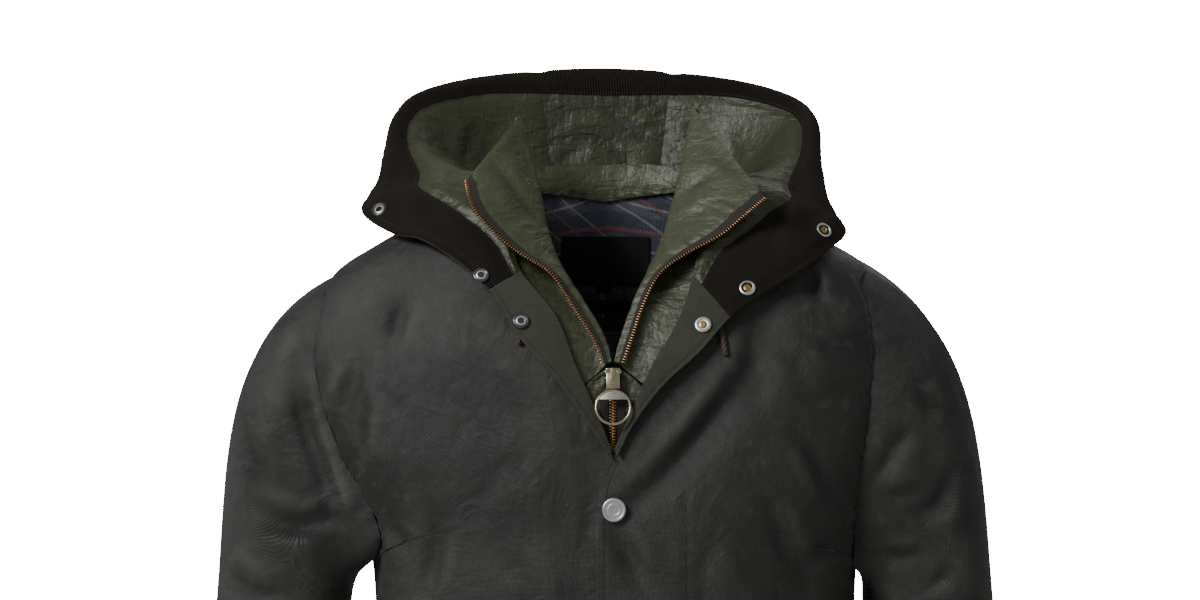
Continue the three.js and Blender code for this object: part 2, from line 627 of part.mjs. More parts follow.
// Hood surface: u from the V point (0) to the back centre (1), v from the neck to the rim
function hoodSurface(side) {
  const stations = HOOD[side];
  const other = HOOD[isLeft(side) ? 'right' : 'left'];
  const controls = stations.map((s) => stationCurve(side, s));
  const mirror = stationCurve(isLeft(side) ? 'right' : 'left', other[other.length - 2]);
  const all = [...controls, mirror];
  const lines = [0, 1, 2, 3].map((c) => all.map((set) => set[c]));
  const last = stations.length - 1;
  const along = (line, u) => {
    const scaled = THREE.MathUtils.clamp(u, 0, 1.05) * last;
    const k = Math.min(Math.floor(scaled), last);
    const t = scaled - k;
    const p = (i) => line[THREE.MathUtils.clamp(i, 0, line.length - 1)];
    const mix = (axis) => catmull(p(k - 1)[axis], p(k)[axis], p(k + 1)[axis], p(k + 2)[axis], t);
    return new THREE.Vector3(mix('x'), mix('y'), mix('z'));
  };
  return (u, v) => {
    const [a, b, c, d] = lines.map((line) => along(line, u));
    return new THREE.CubicBezierCurve3(a, b, c, d).getPoint(THREE.MathUtils.clamp(v, 0, 1));
  };
}

function catmull(a, b, c, d, t) {
  const m0 = (c - a) / 2;
  const m1 = (d - b) / 2;
  const t2 = t * t;
  const t3 = t2 * t;
  return (2 * t3 - 3 * t2 + 1) * b + (t3 - 2 * t2 + t) * m0 + (3 * t2 - 2 * t3) * c + (t3 - t2) * m1;
}

const hood = { left: hoodSurface('left'), right: hoodSurface('right') };

const stationShare = (side, root) => {
  const roots = HOOD[side].map((s, k) => ({ root: s.root, share: k / (HOOD[side].length - 1) }));
  return column(roots, 'root', 'share', root);
};

const bandStart = (side, u) => {
  const rows = HOOD[side].map((s, k) => ({ share: k / (HOOD[side].length - 1), band: s.band }));
  return column(rows, 'share', 'band', u);
};

// Normal of the hood towards its lined side
function hoodNormal(side, u, v) {
  const safeV = THREE.MathUtils.clamp(v, 0.012, 0.988);
  const safeU = THREE.MathUtils.clamp(u, 0.012, 1);
  const normal = normalOf(hood[side], safeU, safeV);
  return isLeft(side) ? normal.negate() : normal;
}

// Lines of the hood grid: the same places for the shell and what lies on it, so they keep apart
const SIDE_ROWS = 15;
const CENTRE_ROWS = 4;
const LINING_COLS = 7;
const BAND_COLS = 3;
const HOOD_COLS = LINING_COLS + BAND_COLS;

function hoodV(side, u, j) {
  const band = bandStart(side, u);
  if (j <= LINING_COLS) {
    return (band * j) / LINING_COLS;
  }
  return THREE.MathUtils.lerp(band, 1, (j - LINING_COLS) / BAND_COLS);
}

// Places on one side of the hood or, for the middle panel, over the middle from right to left
function hoodPlaces(panel, from, to) {
  const rows = panel === 'centre' ? CENTRE_ROWS : SIDE_ROWS;
  return gridOf(rows, to - from, (p, q, i, j) => {
    const side = panel === 'centre' ? (p < 0.5 ? 'right' : 'left') : panel;
    const share = panel === 'centre' ? 1 - Math.abs(2 * p - 1) : p;
    const start = panel === 'centre' ? CENTRE_PANEL : stationShare(panel, HOOD_START);
    const end = panel === 'centre' ? 1 : CENTRE_PANEL;
    const u = THREE.MathUtils.lerp(start, end, share);
    return { side, u, v: hoodV(side, u, from + j) };
  });
}

function hoodWall(name, places, offsets, finish, puff = null) {
  const points = places.map((row) => row.map((p) => hood[p.side](p.u, p.v)));
  const normals = places.map((row) => row.map((p) => hoodNormal(p.side, p.u, p.v)));
  const rows = places.length - 1;
  const cols = places[0].length - 1;
  const high = puff ? (i, j) => offsets[1] + puff(i / rows, j / cols) : offsets[1];
  return add(name, wall(trim(points), normals, offsets[0], high), finish);
}

const SHELL = [-WAX, 0];
const onShell = (thickness) => [SEAM + HOOD_CLEAR, SEAM + HOOD_CLEAR + thickness];
const quilt = (across, down) => (p, q) =>
  QUILT_RISE * Math.abs(Math.sin(Math.PI * across * p) * Math.sin(Math.PI * down * q));

function lapel(side) {
  const split = stationShare(side, HOOD_START);
  const places = gridOf(8, 4, (p, q) => ({ side, u: split * p, v: q }));
  hoodWall(`lapel_${side}`, places, SHELL, 'wax');
  hoodWall(`facing_${side}`, places, onShell(FACING), 'facing');
}

function hoodPanel(panel, across) {
  hoodWall(`hood_${panel}`, hoodPlaces(panel, 0, HOOD_COLS), SHELL, 'wax');
  hoodWall(`hood_band_${panel}`, hoodPlaces(panel, LINING_COLS, HOOD_COLS), onShell(CORDUROY), 'corduroy');
  hoodWall(`hood_lining_${panel}`, hoodPlaces(panel, 0, LINING_COLS), onShell(LINING), 'nylon',
    quilt(across, 3));
}

// Section of the turned collar: up from the neck seam, round the fold, out to its free edge
function collarSection(side, row, before, after) {
  const place = rootPlace(side, row.root);
  const root = onTorso(place.angle, place.z, COLLAR_ROOT_LIFT);
  const fold = new THREE.Vector3(...row.fold);
  const zip = new THREE.Vector3(...row.zip);
  const width = fold.distanceTo(zip);
  const out = zip.clone().sub(fold).normalize();
  const edge = zip.clone().addScaledVector(out, -Math.min(ZIP_STAND, 0.4 * width));
  const along = new THREE.Vector3(...after.fold).sub(new THREE.Vector3(...before.fold)).normalize();
  const up = along.clone().cross(out).normalize().multiplyScalar(isLeft(side) ? -1 : 1);
  const reach = Math.min(FOLD_HALF, 0.3 * width);
  const shift = (p, o, n) => p.clone().addScaledVector(out, o).addScaledVector(up, n);
  return [
    root,
    shift(root.clone().lerp(fold, 0.6), 0, -reach),
    shift(fold, reach, -reach),
    fold,
    shift(fold, reach, reach),
    shift(fold.clone().lerp(edge, 0.5), 0, reach + 1.4),
    edge,
  ];
}

function collarSurface(side) {
  const rows = COLLAR[side];
  const sections = rows.map((row, k) =>
    collarSection(side, row, rows[Math.max(k - 1, 0)], rows[Math.min(k + 1, rows.length - 1)]));
  const count = sections[0].length - 1;
  const pick = (k, j, axis) => {
    const row = sections[THREE.MathUtils.clamp(k, 0, rows.length - 1)];
    return row[THREE.MathUtils.clamp(j, 0, count)][axis];
  };
  return (u, v) => {
    const su = THREE.MathUtils.clamp(u, 0, 1) * (rows.length - 1);
    const sv = THREE.MathUtils.clamp(v, 0, 1) * count;
    const k = Math.min(Math.floor(su), rows.length - 2);
    const j = Math.min(Math.floor(sv), count - 1);
    const value = (axis) => {
      const across = [-1, 0, 1, 2].map((dk) =>
        catmull(...[-1, 0, 1, 2].map((dj) => pick(k + dk, j + dj, axis)), sv - j));
      return catmull(...across, su - k);
    };
    return new THREE.Vector3(value('x'), value('y'), value('z'));
  };
}

const collar = { left: collarSurface('left'), right: collarSurface('right') };

function collarNormal(side, u, v) {
  const normal = normalOf(collar[side], THREE.MathUtils.clamp(u, 0.011, 0.989),
    THREE.MathUtils.clamp(v, 0.011, 0.989));
  return isLeft(side) ? normal.negate() : normal;
}

function collarSide(side) {
  const points = gridOf(COLLAR_ROWS, 10, (u, v) => collar[side](u, v));
  const normals = gridOf(COLLAR_ROWS, 10, (u, v) => collarNormal(side, u, v));
  add(`collar_${side}`, wall(points, normals, -NYLON, 0), 'nylon');
}

// Direction from the free edge of the collar outwards, along its face
function edgeOut(side, u) {
  return collar[side](u, 1).sub(collar[side](u, 0.94)).normalize();
}

// A place beyond the collar's free edge, out along its face and up from it
function beyondEdge(side, u, out, up) {
  const point = collar[side](u, 1).addScaledVector(edgeOut(side, u), out);
  return point.addScaledVector(collarNormal(side, u, 1), up);
}

function zipHalf(side) {
  const inner = (u) => collar[side](u, 0.95).addScaledVector(collarNormal(side, u, 0.95), TAPE_LIFT);
  const spots = (u) => [
    inner(u), beyondEdge(side, u, 0, TAPE_LIFT), beyondEdge(side, u, TAPE_STAND, TAPE_LIFT),
  ];
  const points = gridOf(COLLAR_ROWS, 2, (u, v, i, j) => spots(u)[j]);
  const normals = gridOf(COLLAR_ROWS, 2, (u) => collarNormal(side, u, 1));
  add(`zip_tape_${side}`, wall(trim(points), normals, 0, TAPE), 'tape');
  const half = CHAIN_WIDTH / 2;
  const start = TAPE_STAND + SEAM;
  const rings = Array.from({ length: COLLAR_ROWS + 1 }, (_, i) => {
    const u = i / COLLAR_ROWS;
    const corner = (o, n) => beyondEdge(side, u, start + half + o, TAPE_LIFT + TAPE / 2 + n);
    const depth = CHAIN_DEPTH / 2;
    return [corner(-half, -depth), corner(half, -depth), corner(half, depth), corner(-half, depth)];
  });
  add(`zip_chain_${side}`, sweep(rings), 'brass');
}

// Closed body through a list of rings of points, with flat ends
function sweep(rings) {
  const count = rings[0].length;
  const positions = rings.flat().flatMap((p) => p.toArray());
  const index = [];
  for (let i = 0; i < rings.length - 1; i += 1) {
    for (let j = 0; j < count; j += 1) {
      const next = (j + 1) % count;
      const [a, b] = [i * count + j, i * count + next];
      const [c, d] = [(i + 1) * count + next, (i + 1) * count + j];
      index.push(a, b, c, a, c, d);
    }
  }
  const last = (rings.length - 1) * count;
  for (let j = 1; j < count - 1; j += 1) {
    index.push(0, j + 1, j, last, last + j, last + j + 1);
  }
  return outward(new THREE.BufferGeometry(), positions, index);
}

// Crescent of the collar across the back of the neck
function collarBack() {
  const places = gridOf(12, 4, (p, q) => {
    const side = p < 0.5 ? 'right' : 'left';
    const share = 1 - Math.abs(2 * p - 1);
    return { side, t: THREE.MathUtils.lerp(BACK_BAND.start, 1, share), q };
  });
  const centre = new THREE.Vector3(0, 10, 0);
  const points = places.map((row) => row.map(({ side, t, q }) => {
    const place = backNeck(side, t);
    const base = onTorso(wrap(place.angle), place.z, BACK_BAND.lift);
    const height = THREE.MathUtils.lerp(BACK_BAND.low, BACK_BAND.high, Math.sin((t * Math.PI) / 2) ** 2);
    const away = new THREE.Vector3(base.x - centre.x, base.y - centre.y, 0).normalize();
    return base.addScaledVector(away, BACK_BAND.lean * q * q).add(new THREE.Vector3(0, 0, height * q - 2));
  }));
  const normals = points.map((row) => row.map((p) =>
    new THREE.Vector3(centre.x - p.x, centre.y - p.y, 0).normalize()));
  add('collar_back', wall(trim(points), normals, 0, NYLON), 'nylon');
}

// Small flat piece inside the back neck, on the lining
function neckPatch(name, centreX, width, top, height, thick, lift, finish) {
  const places = gridOf(6, 2, (p, q) => ({ x: centreX + width * (p - 0.5) + 1e-6, z: top - height * q }));
  const angle = (p) => wrap(angleOf(p.x, p.z, true));
  const points = places.map((row) => row.map((p) => onTorso(angle(p), p.z, lift)));
  const normals = places.map((row) => row.map((p) => torsoNormal(angle(p), p.z)));
  add(name, wall(points, normals, -thick, 0), finish);
}

function neckLabels() {
  const onLining = -WAX - SEAM - LINING - SEAM - PATCH_CLEAR;
  neckPatch('neck_label', 0, LABEL.width, LABEL.top, LABEL.height, LABEL.thick, onLining, 'label');
  neckPatch('size_tab', SIZE_TAB.x, SIZE_TAB.width, LABEL.top - LABEL.height - SEAM, SIZE_TAB.height,
    SIZE_TAB.thick, onLining, 'label');
  neckPatch('hanger_loop', LOOP_STRIP.x, LOOP_STRIP.width, LOOP_STRIP.top, LOOP_STRIP.height,
    LOOP_STRIP.thick, onLining, 'label');
}

// How far the closed zip lies behind the face of the fronts
function zipLift(z) {
  const deep = THREE.MathUtils.smoothstep(-z, ZIP_PLANE.highZ, ZIP_PLANE.lowZ);
  return -THREE.MathUtils.lerp(ZIP_PLANE.shallow, ZIP_PLANE.deep, deep);
}

function onZipPlane(x, z, extra = 0) {
  return onTorso(angleOf(x, z), z, zipLift(z) + extra);
}

// Strip between the roll line of a front and the closed zip
function placket(side) {
  const sign = signOf(side);
  const points = gridOf(8, 3, (t, s) => {
    const top = THREE.MathUtils.lerp(PLACKET.outerTop, PLACKET.innerTop, s);
    const z = THREE.MathUtils.lerp(top, PLACKET.bottom, t);
    const near = THREE.MathUtils.smoothstep(-z, -SLIDER.z + 9, -SLIDER.z + 13);
    const inner = SLIDER.x + sign * THREE.MathUtils.lerp(PLACKET.besideSlider, PLACKET.besideChain, near);
    const edge = column(FRONT_EDGE[side], 'z', 'x', z);
    const outer = SLIDER.x + sign * Math.max(PLACKET.least, sign * (edge - SLIDER.x) + PLACKET.under);
    return onZipPlane(THREE.MathUtils.lerp(outer, inner, s), z);
  });
  const normals = points.map((row) => row.map((p) => torsoNormal(angleOf(p.x, p.z), p.z)));
  add(`placket_${side}`, wall(points, normals, -NYLON, 0), 'nylon');
}

// Closed zip from the slider to the hem, hidden under the flap below the V point
function closedZip() {
  const steps = 22;
  const rings = Array.from({ length: steps + 1 }, (_, i) => {
    const share = (i / steps) ** 1.6;
    const z = THREE.MathUtils.lerp(CLOSED_ZIP.top, CLOSED_ZIP.bottom, share);
    const corner = (x, n) => onZipPlane(SLIDER.x + x, z, n - NYLON / 2);
    const half = CLOSED_ZIP.width / 2;
    const depth = CHAIN_DEPTH / 2;
    return [corner(-half, -depth), corner(half, -depth), corner(half, depth), corner(-half, depth)];
  });
  add('zip_chain_closed', sweep(rings), 'brass');
}

const wasm = await Module();
wasm.setup();

function toSolid(geometry) {
  const bare = geometry.index ? geometry.toNonIndexed() : geometry.clone();
  for (const name of Object.keys(bare.attributes)) {
    if (name !== 'position') {
      bare.deleteAttribute(name);
    }
  }
  const merged = BufferGeometryUtils.mergeVertices(bare, 1e-4);
  return new wasm.Manifold(new wasm.Mesh({
    numProp: 3,
    vertProperties: new Float32Array(merged.attributes.position.array),
    triVerts: new Uint32Array(merged.index.array),
  }));
}

function joined(...geometries) {
  const solid = geometries.map(toSolid).reduce((sum, next) => sum.add(next));
  const mesh = solid.getMesh();
  const geometry = new THREE.BufferGeometry();
  geometry.setAttribute('position', new THREE.Float32BufferAttribute(mesh.vertProperties, 3));
  geometry.setIndex(Array.from(mesh.triVerts));
  return geometry;
}

// Flat outline in X and Z, extruded through Y about its middle
function plateXZ(shape, thick, curveSegments = 8) {
  const geometry = new THREE.ExtrudeGeometry(shape, { depth: thick, bevelEnabled: false, curveSegments });
  return geometry.translate(0, 0, -thick / 2).rotateX(Math.PI / 2);
}

// The slider: a tapered body with a bridge over its top, local origin at the body's middle
function slider() {
  const { width, height, depth } = SLIDER;
  const half = width / 2;
  const low = half * 0.74;
  const outline = new THREE.Shape();
  outline.moveTo(-half, height / 2 - 2);
  outline.lineTo(-half + 2, height / 2);
  outline.lineTo(half - 2, height / 2);
  outline.lineTo(half, height / 2 - 2);
  outline.lineTo(low, -height / 2 + 1.5);
  outline.lineTo(low - 1.5, -height / 2);
  outline.lineTo(-low + 1.5, -height / 2);
  outline.lineTo(-low, -height / 2 + 1.5);
  outline.closePath();
  const body = plateXZ(outline, depth);
  const face = -depth / 2;
  const arch = new THREE.Shape();
  const outer = [
    [face + 1, BRIDGE.top], [face - BRIDGE.reach + 1.2, BRIDGE.top],
    [face - BRIDGE.reach, BRIDGE.top - 1.2], [face - BRIDGE.reach, BRIDGE.bottom + 1.2],
    [face - BRIDGE.reach + 1.2, BRIDGE.bottom], [face + 1, BRIDGE.bottom],
  ];
  const inner = [
    [face + 1, BRIDGE.bottom + BRIDGE.bar], [face - BRIDGE.reach + BRIDGE.bar, BRIDGE.bottom + BRIDGE.bar],
    [face - BRIDGE.reach + BRIDGE.bar, BRIDGE.top - BRIDGE.bar], [face + 1, BRIDGE.top - BRIDGE.bar],
  ];
  [...outer, ...inner].forEach(([y, z], k) => (k ? arch.lineTo(y, z) : arch.moveTo(y, z)));
  arch.closePath();
  const bridge = new THREE.ExtrudeGeometry(arch, { depth: BRIDGE.width, bevelEnabled: false });
  bridge.translate(0, 0, -BRIDGE.width / 2);
  bridge.applyMatrix4(new THREE.Matrix4().makeBasis(
    new THREE.Vector3(0, 1, 0), new THREE.Vector3(0, 0, 1), new THREE.Vector3(1, 0, 0)));
  const mesh = add('zip_slider', joined(body, bridge), 'antique');
  mesh.position.set(SLIDER.x, SLIDER.y, SLIDER.z);
}

function pullPlace(mesh) {
  mesh.position.set(SLIDER.x, HINGE.y, HINGE.z);
  mesh.rotation.x = -THREE.MathUtils.degToRad(HINGE.hang);
}

// Frame of the pull with a slot for the bridge and a barrel at each side of it
function pullLink() {
  const half = LINK.width / 2;
  const shape = new THREE.Shape();
  shape.moveTo(-half, LINK.rise);
  shape.lineTo(half, LINK.rise);
  shape.lineTo(half, -LINK.drop + 1.5);
  shape.lineTo(half - 1.5, -LINK.drop);
  shape.lineTo(-half + 1.5, -LINK.drop);
  shape.lineTo(-half, -LINK.drop + 1.5);
  shape.closePath();
  const slot = new THREE.Path();
  const wide = LINK.slotWidth / 2;
  slot.moveTo(-wide, LINK.rise - LINK.bar);
  slot.lineTo(-wide, -LINK.slotDrop + 1.5);
  slot.lineTo(-wide + 1.5, -LINK.slotDrop);
  slot.lineTo(wide - 1.5, -LINK.slotDrop);
  slot.lineTo(wide, -LINK.slotDrop + 1.5);
  slot.lineTo(wide, LINK.rise - LINK.bar);
  slot.closePath();
  shape.holes.push(slot);
  const barrel = (sign) => new THREE.CylinderGeometry(LINK.barrel / 2, LINK.barrel / 2, LINK.barrelLength, 12)
    .rotateZ(Math.PI / 2).translate(sign * (wide + 0.1 + LINK.barrelLength / 2), 0, 0);
  pullPlace(add('pull_link', joined(plateXZ(shape, LINK.thick), barrel(-1), barrel(1)), 'antique'));
}

// Ring of the pull with the half-moon plate across its top
function pullRing() {
  const middle = (RING.outer - RING.wire) / 2;
  const drop = LINK.drop + SEAM + RING.outer / 2;
  const ring = new THREE.TorusGeometry(middle, RING.wire / 2, 8, 24).rotateX(Math.PI / 2);
  const start = Math.asin(RING.plateRise / middle);
  const moon = new THREE.Shape();
  moon.absarc(0, 0, middle, start, Math.PI - start, false);
  moon.closePath();
  const solid = joined(ring, plateXZ(moon, RING.plate, 10));
  pullPlace(add('pull_ring', solid.translate(0, 0, -drop), 'antique'));
}

// Round button from a profile of radius and height, seated on a surface
function button(name, profile, point, normal, finish, segments = 16) {
  const points = profile.map(([r, h]) => new THREE.Vector2(r, h));
  const geometry = new THREE.LatheGeometry(points, segments);
  const mesh = add(name, geometry, finish);
  mesh.quaternion.setFromUnitVectors(new THREE.Vector3(0, 1, 0), normal);
  mesh.position.copy(point);
  return mesh;
}

// Height that clears everything of a surface within a radius of a point
function seatHeight(surface, point, normal, radius) {
  let highest = 0;
  for (const share of [0.35, 0.7, 1]) {
    for (let k = 0; k < 16; k += 1) {
      const turn = (Math.PI * k) / 8;
      const spot = surface(radius * share * Math.cos(turn), radius * share * Math.sin(turn));
      highest = Math.max(highest, spot.sub(point).dot(normal));
    }
  }
  return highest + SEAM;
}

function studs() {
  const r = STUD.diameter / 2;
  const h = STUD.height;
  const profile = [[0, 0], [r * 0.94, 0], [r, h * 0.3], [r * 0.96, h * 0.75], [r * 0.84, h],
    [r * 0.76, h * 0.82], [0, h * 0.82]];
  for (let k = 0; k < STUD.count; k += 1) {
    const z = STUD.firstZ - STUD.pitch * k;
    const angle = angleOf(STUD.x, z);
    const normal = torsoNormal(angle, z);
    const point = onTorso(angle, z);
    const near = (dx, dz) => onTorso(angleOf(STUD.x + dx, z + dz), z + dz);
    point.addScaledVector(normal, seatHeight(near, point, normal, r) + SEAT_CLEAR);
    button(`stud_${k + 1}`, profile, point, normal, 'steel', 14);
  }
}

// Place on the hood under a point seen from the front
function hoodUnder(side, x, z) {
  let best = { away: Infinity };
  for (let i = 0; i <= 60; i += 1) {
    for (let j = 0; j <= 40; j += 1) {
      const [u, v] = [SNAP_SEARCH * (i / 60), 0.3 + 0.7 * (j / 40)];
      const p = hood[side](u, v);
      const away = Math.hypot(p.x - x, p.z - z);
      best = away < best.away ? { u, v, away } : best;
    }
  }
  return best;
}

function snaps(side) {
  const r = SNAP.diameter / 2;
  const h = SNAP.height;
  const profile = [[0, 0], [r * 0.96, 0], [r, h * 0.5], [r * 0.9, h], [r * 0.66, h * 0.8],
    [r * 0.5, h * 0.3], [r * 0.3, h * 0.55], [0, h * 0.62]];
  SNAPS[side].forEach((row, k) => {
    const { u, v } = hoodUnder(side, row.x, row.z);
    const rise = SEAM + HOOD_CLEAR + (u < stationShare(side, HOOD_START) ? FACING : CORDUROY);
    const face = (pu, pv) => hood[side](pu, pv).addScaledVector(hoodNormal(side, pu, pv), rise);
    const normal = hoodNormal(side, u, v);
    const point = face(u, v);
    const perU = face(u + STEP, v).distanceTo(face(u - STEP, v)) / (2 * STEP);
    const perV = face(u, v + STEP).distanceTo(face(u, v - STEP)) / (2 * STEP);
    const near = (a, b) => face(u + a / perU, Math.min(v + b / perV, 1));
    point.addScaledVector(normal, seatHeight(near, point, normal, r) + row.clear);
    button(`snap_${side}_${k + 1}`, profile, point, normal, 'steel', 10);
  });
}

// End of a hood drawcord, lying on the front under the lapel
function cordEnd(side) {
  const row = CORD_ENDS[side];
  const steps = 8;
  const sides = 8;
  const radius = CORD_DIAMETER / 2;
  const at = (t) => {
    const x = THREE.MathUtils.lerp(row.x0, row.x1, t);
    const z = THREE.MathUtils.lerp(row.z0, row.z1, t);
    return onTorso(angleOf(x, z), z, radius + SEAM + row.clear);
  };
  const rings = Array.from({ length: steps + 1 }, (_, i) => {
    const t = i / steps;
    const along = at(Math.min(t + 0.02, 1)).sub(at(Math.max(t - 0.02, 0))).normalize();
    const across = along.clone().cross(new THREE.Vector3(0, -1, 0)).normalize();
    const over = across.clone().cross(along);
    const round = i === 0 || i === steps ? 0.6 : 1;
    return Array.from({ length: sides }, (__, k) => {
      const turn = (2 * Math.PI * k) / sides;
      return at(t).addScaledVector(across, round * radius * Math.cos(turn))
        .addScaledVector(over, round * radius * Math.sin(turn));
    });
  });
  add(`drawcord_${side}`, sweep(rings), 'cord');
}

backPanel();
for (const side of ['left', 'right']) {
  frontPanel(side);
  sleeve(side);
  lapel(side);
  hoodPanel(side, 3);
  collarSide(side);
  zipHalf(side);
  placket(side);
  snaps(side);
  cordEnd(side);
}
hoodPanel('centre', 4);
collarBack();
neckLabels();
closedZip();
slider();
pullLink();
pullRing();
studs();

export default jacket;
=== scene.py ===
"""A hooded waxed cotton jacket in its worn, hollow form.

Shapes are worked out in millimetres and written to the meshes in metres. X runs to the wearer's
left, Y to the back and Z up, with the origin between the shoulders.
"""

import logging
import math
from dataclasses import dataclass, field
from enum import Enum

import bmesh
import bpy
import numpy as np
from mathutils import Matrix, Vector


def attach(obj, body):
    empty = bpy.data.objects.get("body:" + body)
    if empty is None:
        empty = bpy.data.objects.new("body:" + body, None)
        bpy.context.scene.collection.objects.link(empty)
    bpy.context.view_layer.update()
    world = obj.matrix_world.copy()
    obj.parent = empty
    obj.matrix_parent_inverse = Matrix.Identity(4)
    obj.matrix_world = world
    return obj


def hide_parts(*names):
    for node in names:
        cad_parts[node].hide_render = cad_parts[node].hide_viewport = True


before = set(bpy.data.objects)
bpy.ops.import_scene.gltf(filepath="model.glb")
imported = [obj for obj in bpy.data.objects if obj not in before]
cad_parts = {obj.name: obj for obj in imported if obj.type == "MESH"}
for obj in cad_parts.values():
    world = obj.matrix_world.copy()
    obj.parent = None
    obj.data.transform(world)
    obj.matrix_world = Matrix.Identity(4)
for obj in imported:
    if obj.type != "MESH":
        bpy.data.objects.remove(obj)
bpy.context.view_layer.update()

logging.basicConfig(level=logging.INFO, format="%(message)s")
LOG = logging.getLogger("jacket")

MM = 0.001
Array = np.ndarray

# Cloth walls and the gap between pieces, in millimetres
WAX = 1.4
FACING = 1.1
CORDUROY = 1.5
NYLON = 1.2
LINING = 1.2
SEAM = 0.3
HOOD_CLEAR = 0.3
PATCH_CLEAR = 0.9
SHELL_LIFT = WAX + SEAM + 0.15
NECK_SHELL_LIFT = SHELL_LIFT + 1
UNDER_FLAP = 3.6

# Where rows of stitches and turned edges lie, in from an edge
HEM_DEPTH = 38.0
CUFF_DEPTH = 34.0
FRONT_STITCH = 6.5
SEAM_STITCH = 5.5
RIM_STITCH = 7.0
BAND_STITCH = 2.5
FACING_STITCH = 4.2

HEM_Z = -760.0
CUFF_Z = -722.0
NECK_HALF = 95.0
NECK_TOP_Z = -5.0
NECK_BACK_DROP = 15.0
RIDGE = 999.0


class Side(Enum):
    """A side of the wearer, with its sign along X."""

    LEFT = 1
    RIGHT = -1

    @property
    def word(self) -> str:
        """The side in plain words, as the nodes have it."""
        return self.name.lower()

    @property
    def other(self) -> "Side":
        """The opposite side."""
        return Side(-self.value)


class Edge(Enum):
    """An edge of a grid of points."""

    FIRST_ROW = "first row"
    LAST_ROW = "last row"
    FIRST_COL = "first column"
    LAST_COL = "last column"


@dataclass(frozen=True)
class Table:
    """A short table of named columns, smooth and without overshoot between its rows."""

    names: tuple[str, ...]
    rows: tuple[tuple[float, ...], ...]

    def at(self, key: Array | float, name: str) -> Array:
        """Value of a column.

        Args:
            key: Place in the first column, one or many.
            name: Name of the column.

        Returns:
            The value at each key.
        """
        return smooth_value(np.array([r[0] for r in self.rows], float),
                            np.array([r[self.names.index(name)] for r in self.rows], float), key)


def smooth_value(x: Array, y: Array, key: Array | float) -> Array:
    """Monotone cubic through points.

    Args:
        x: Keys of the points, rising or falling.
        y: Values of the points.
        key: Where to read, one or many.

    Returns:
        The value at each key.
    """
    order = np.argsort(x)
    x, y = x[order], y[order]
    slope = np.diff(y) / np.diff(x)
    product = slope[:-1] * slope[1:]
    total = np.where(product > 0, slope[:-1] + slope[1:], 1)
    inner = np.where(product > 0, 2 * product / total, 0)
    tangent = np.concatenate([slope[:1], inner, slope[-1:]])
    key = np.asarray(key, float)
    k = np.clip(np.searchsorted(x, key) - 1, 0, len(x) - 2)
    span = x[k + 1] - x[k]
    t = np.clip((key - x[k]) / span, 0, 1)
    t2, t3 = t * t, t * t * t
    return ((2 * t3 - 3 * t2 + 1) * y[k] + (t3 - 2 * t2 + t) * span * tangent[k]
            + (3 * t2 - 2 * t3) * y[k + 1] + (t3 - t2) * span * tangent[k + 1])


def smoothstep(value: Array | float, low: float, high: float) -> Array:
    """Soft step from 0 at low to 1 at high."""
    t = np.clip((np.asarray(value, float) - low) / (high - low), 0, 1)
    return t * t * (3 - 2 * t)


def lerp(a: Array | float, b: Array | float, t: Array | float) -> Array:
    """Straight mix of two values."""
    return a + (b - a) * t


def signed_power(value: Array, power: Array | float) -> Array:
    """A power that keeps the sign."""
    return np.sign(value) * np.abs(value) ** power


def unit(vectors: Array) -> Array:
    """Vectors of length one."""
    return vectors / np.maximum(np.linalg.norm(vectors, axis=-1, keepdims=True), 1e-9)


def stack(x: Array, y: Array, z: Array) -> Array:
    """Points from three arrays of coordinates."""
    return np.stack(np.broadcast_arrays(x, y, z), axis=-1).astype(float)


TORSO = Table(("z", "centre", "half", "front", "back", "square"), (
    (HEM_Z, 9, 236, 136, 118, 2.5), (-560, 9, 228, 134, 114, 2.5), (-400, 9, 222, 132, 114, 2.5),
    (-340, 8, 226, 132, 116, 2.6), (-284, 3, 243, 130, 117, 2.8), (-250, 0, 255, 127, 116, 3.0),
    (-170, -2, 277, 116, 110, 3.0), (-120, 0, 268, 101, 100, 2.8), (-90, 0, 250, 88, 91, 2.6),
    (-60, 0, 205, 76, 84, 2.4), (-30, 0, 150, 64, 77, 2.2),
    (NECK_TOP_Z, 0, NECK_HALF, 50, 72, 2.1),
))

FRONT_EDGE = {
    Side.LEFT: Table(("at", "x", "z"), (
        (0, -8.6, HEM_Z), (0.2, -8.6, -560), (0.39, -8.6, -325), (0.45, -6, -288), (0.5, 9, -249),
        (0.56, 25, -213), (0.63, 42, -175), (0.7, 65, -136), (0.78, 79, -95), (0.84, 86, -62),
        (0.9, 93, -34), (0.96, 97, -13), (1, NECK_HALF, NECK_TOP_Z),
    )),
    Side.RIGHT: Table(("at", "x", "z"), (
        (0, 34, HEM_Z), (0.2, 34, -560), (0.39, 32, -325), (0.45, 22, -288), (0.5, 4, -249),
        (0.56, -10, -213), (0.63, -27, -175), (0.7, -45, -131), (0.78, -77, -91),
        (0.84, -85, -62), (0.9, -93, -34), (0.96, -97, -13), (1, -NECK_HALF, NECK_TOP_Z),
    )),
}
HOOD_START = 0.78

ARMHOLE = {
    Side.LEFT: Table(("at", "z", "front", "back"), (
        (0, -364, RIDGE, RIDGE), (0.06, -359, 224, 226), (0.16, -340, 226, 220),
        (0.28, -308, 228, 218), (0.4, -272, 231, 222), (0.55, -230, 237, 228),
        (0.7, -186, 242, 230), (0.85, -140, 242, 228), (0.94, -103, 232, 226),
        (1, -76, RIDGE, RIDGE),
    )),
    Side.RIGHT: Table(("at", "z", "front", "back"), (
        (0, -356, RIDGE, RIDGE), (0.06, -350, 207, 207), (0.16, -326, 204, 202),
        (0.28, -296, 218, 207), (0.4, -262, 239, 216), (0.55, -224, 254, 226),
        (0.7, -188, 263, 232), (0.85, -150, 265, 236), (0.94, -118, 259, 240),
        (1, -93, RIDGE, RIDGE),
    )),
}

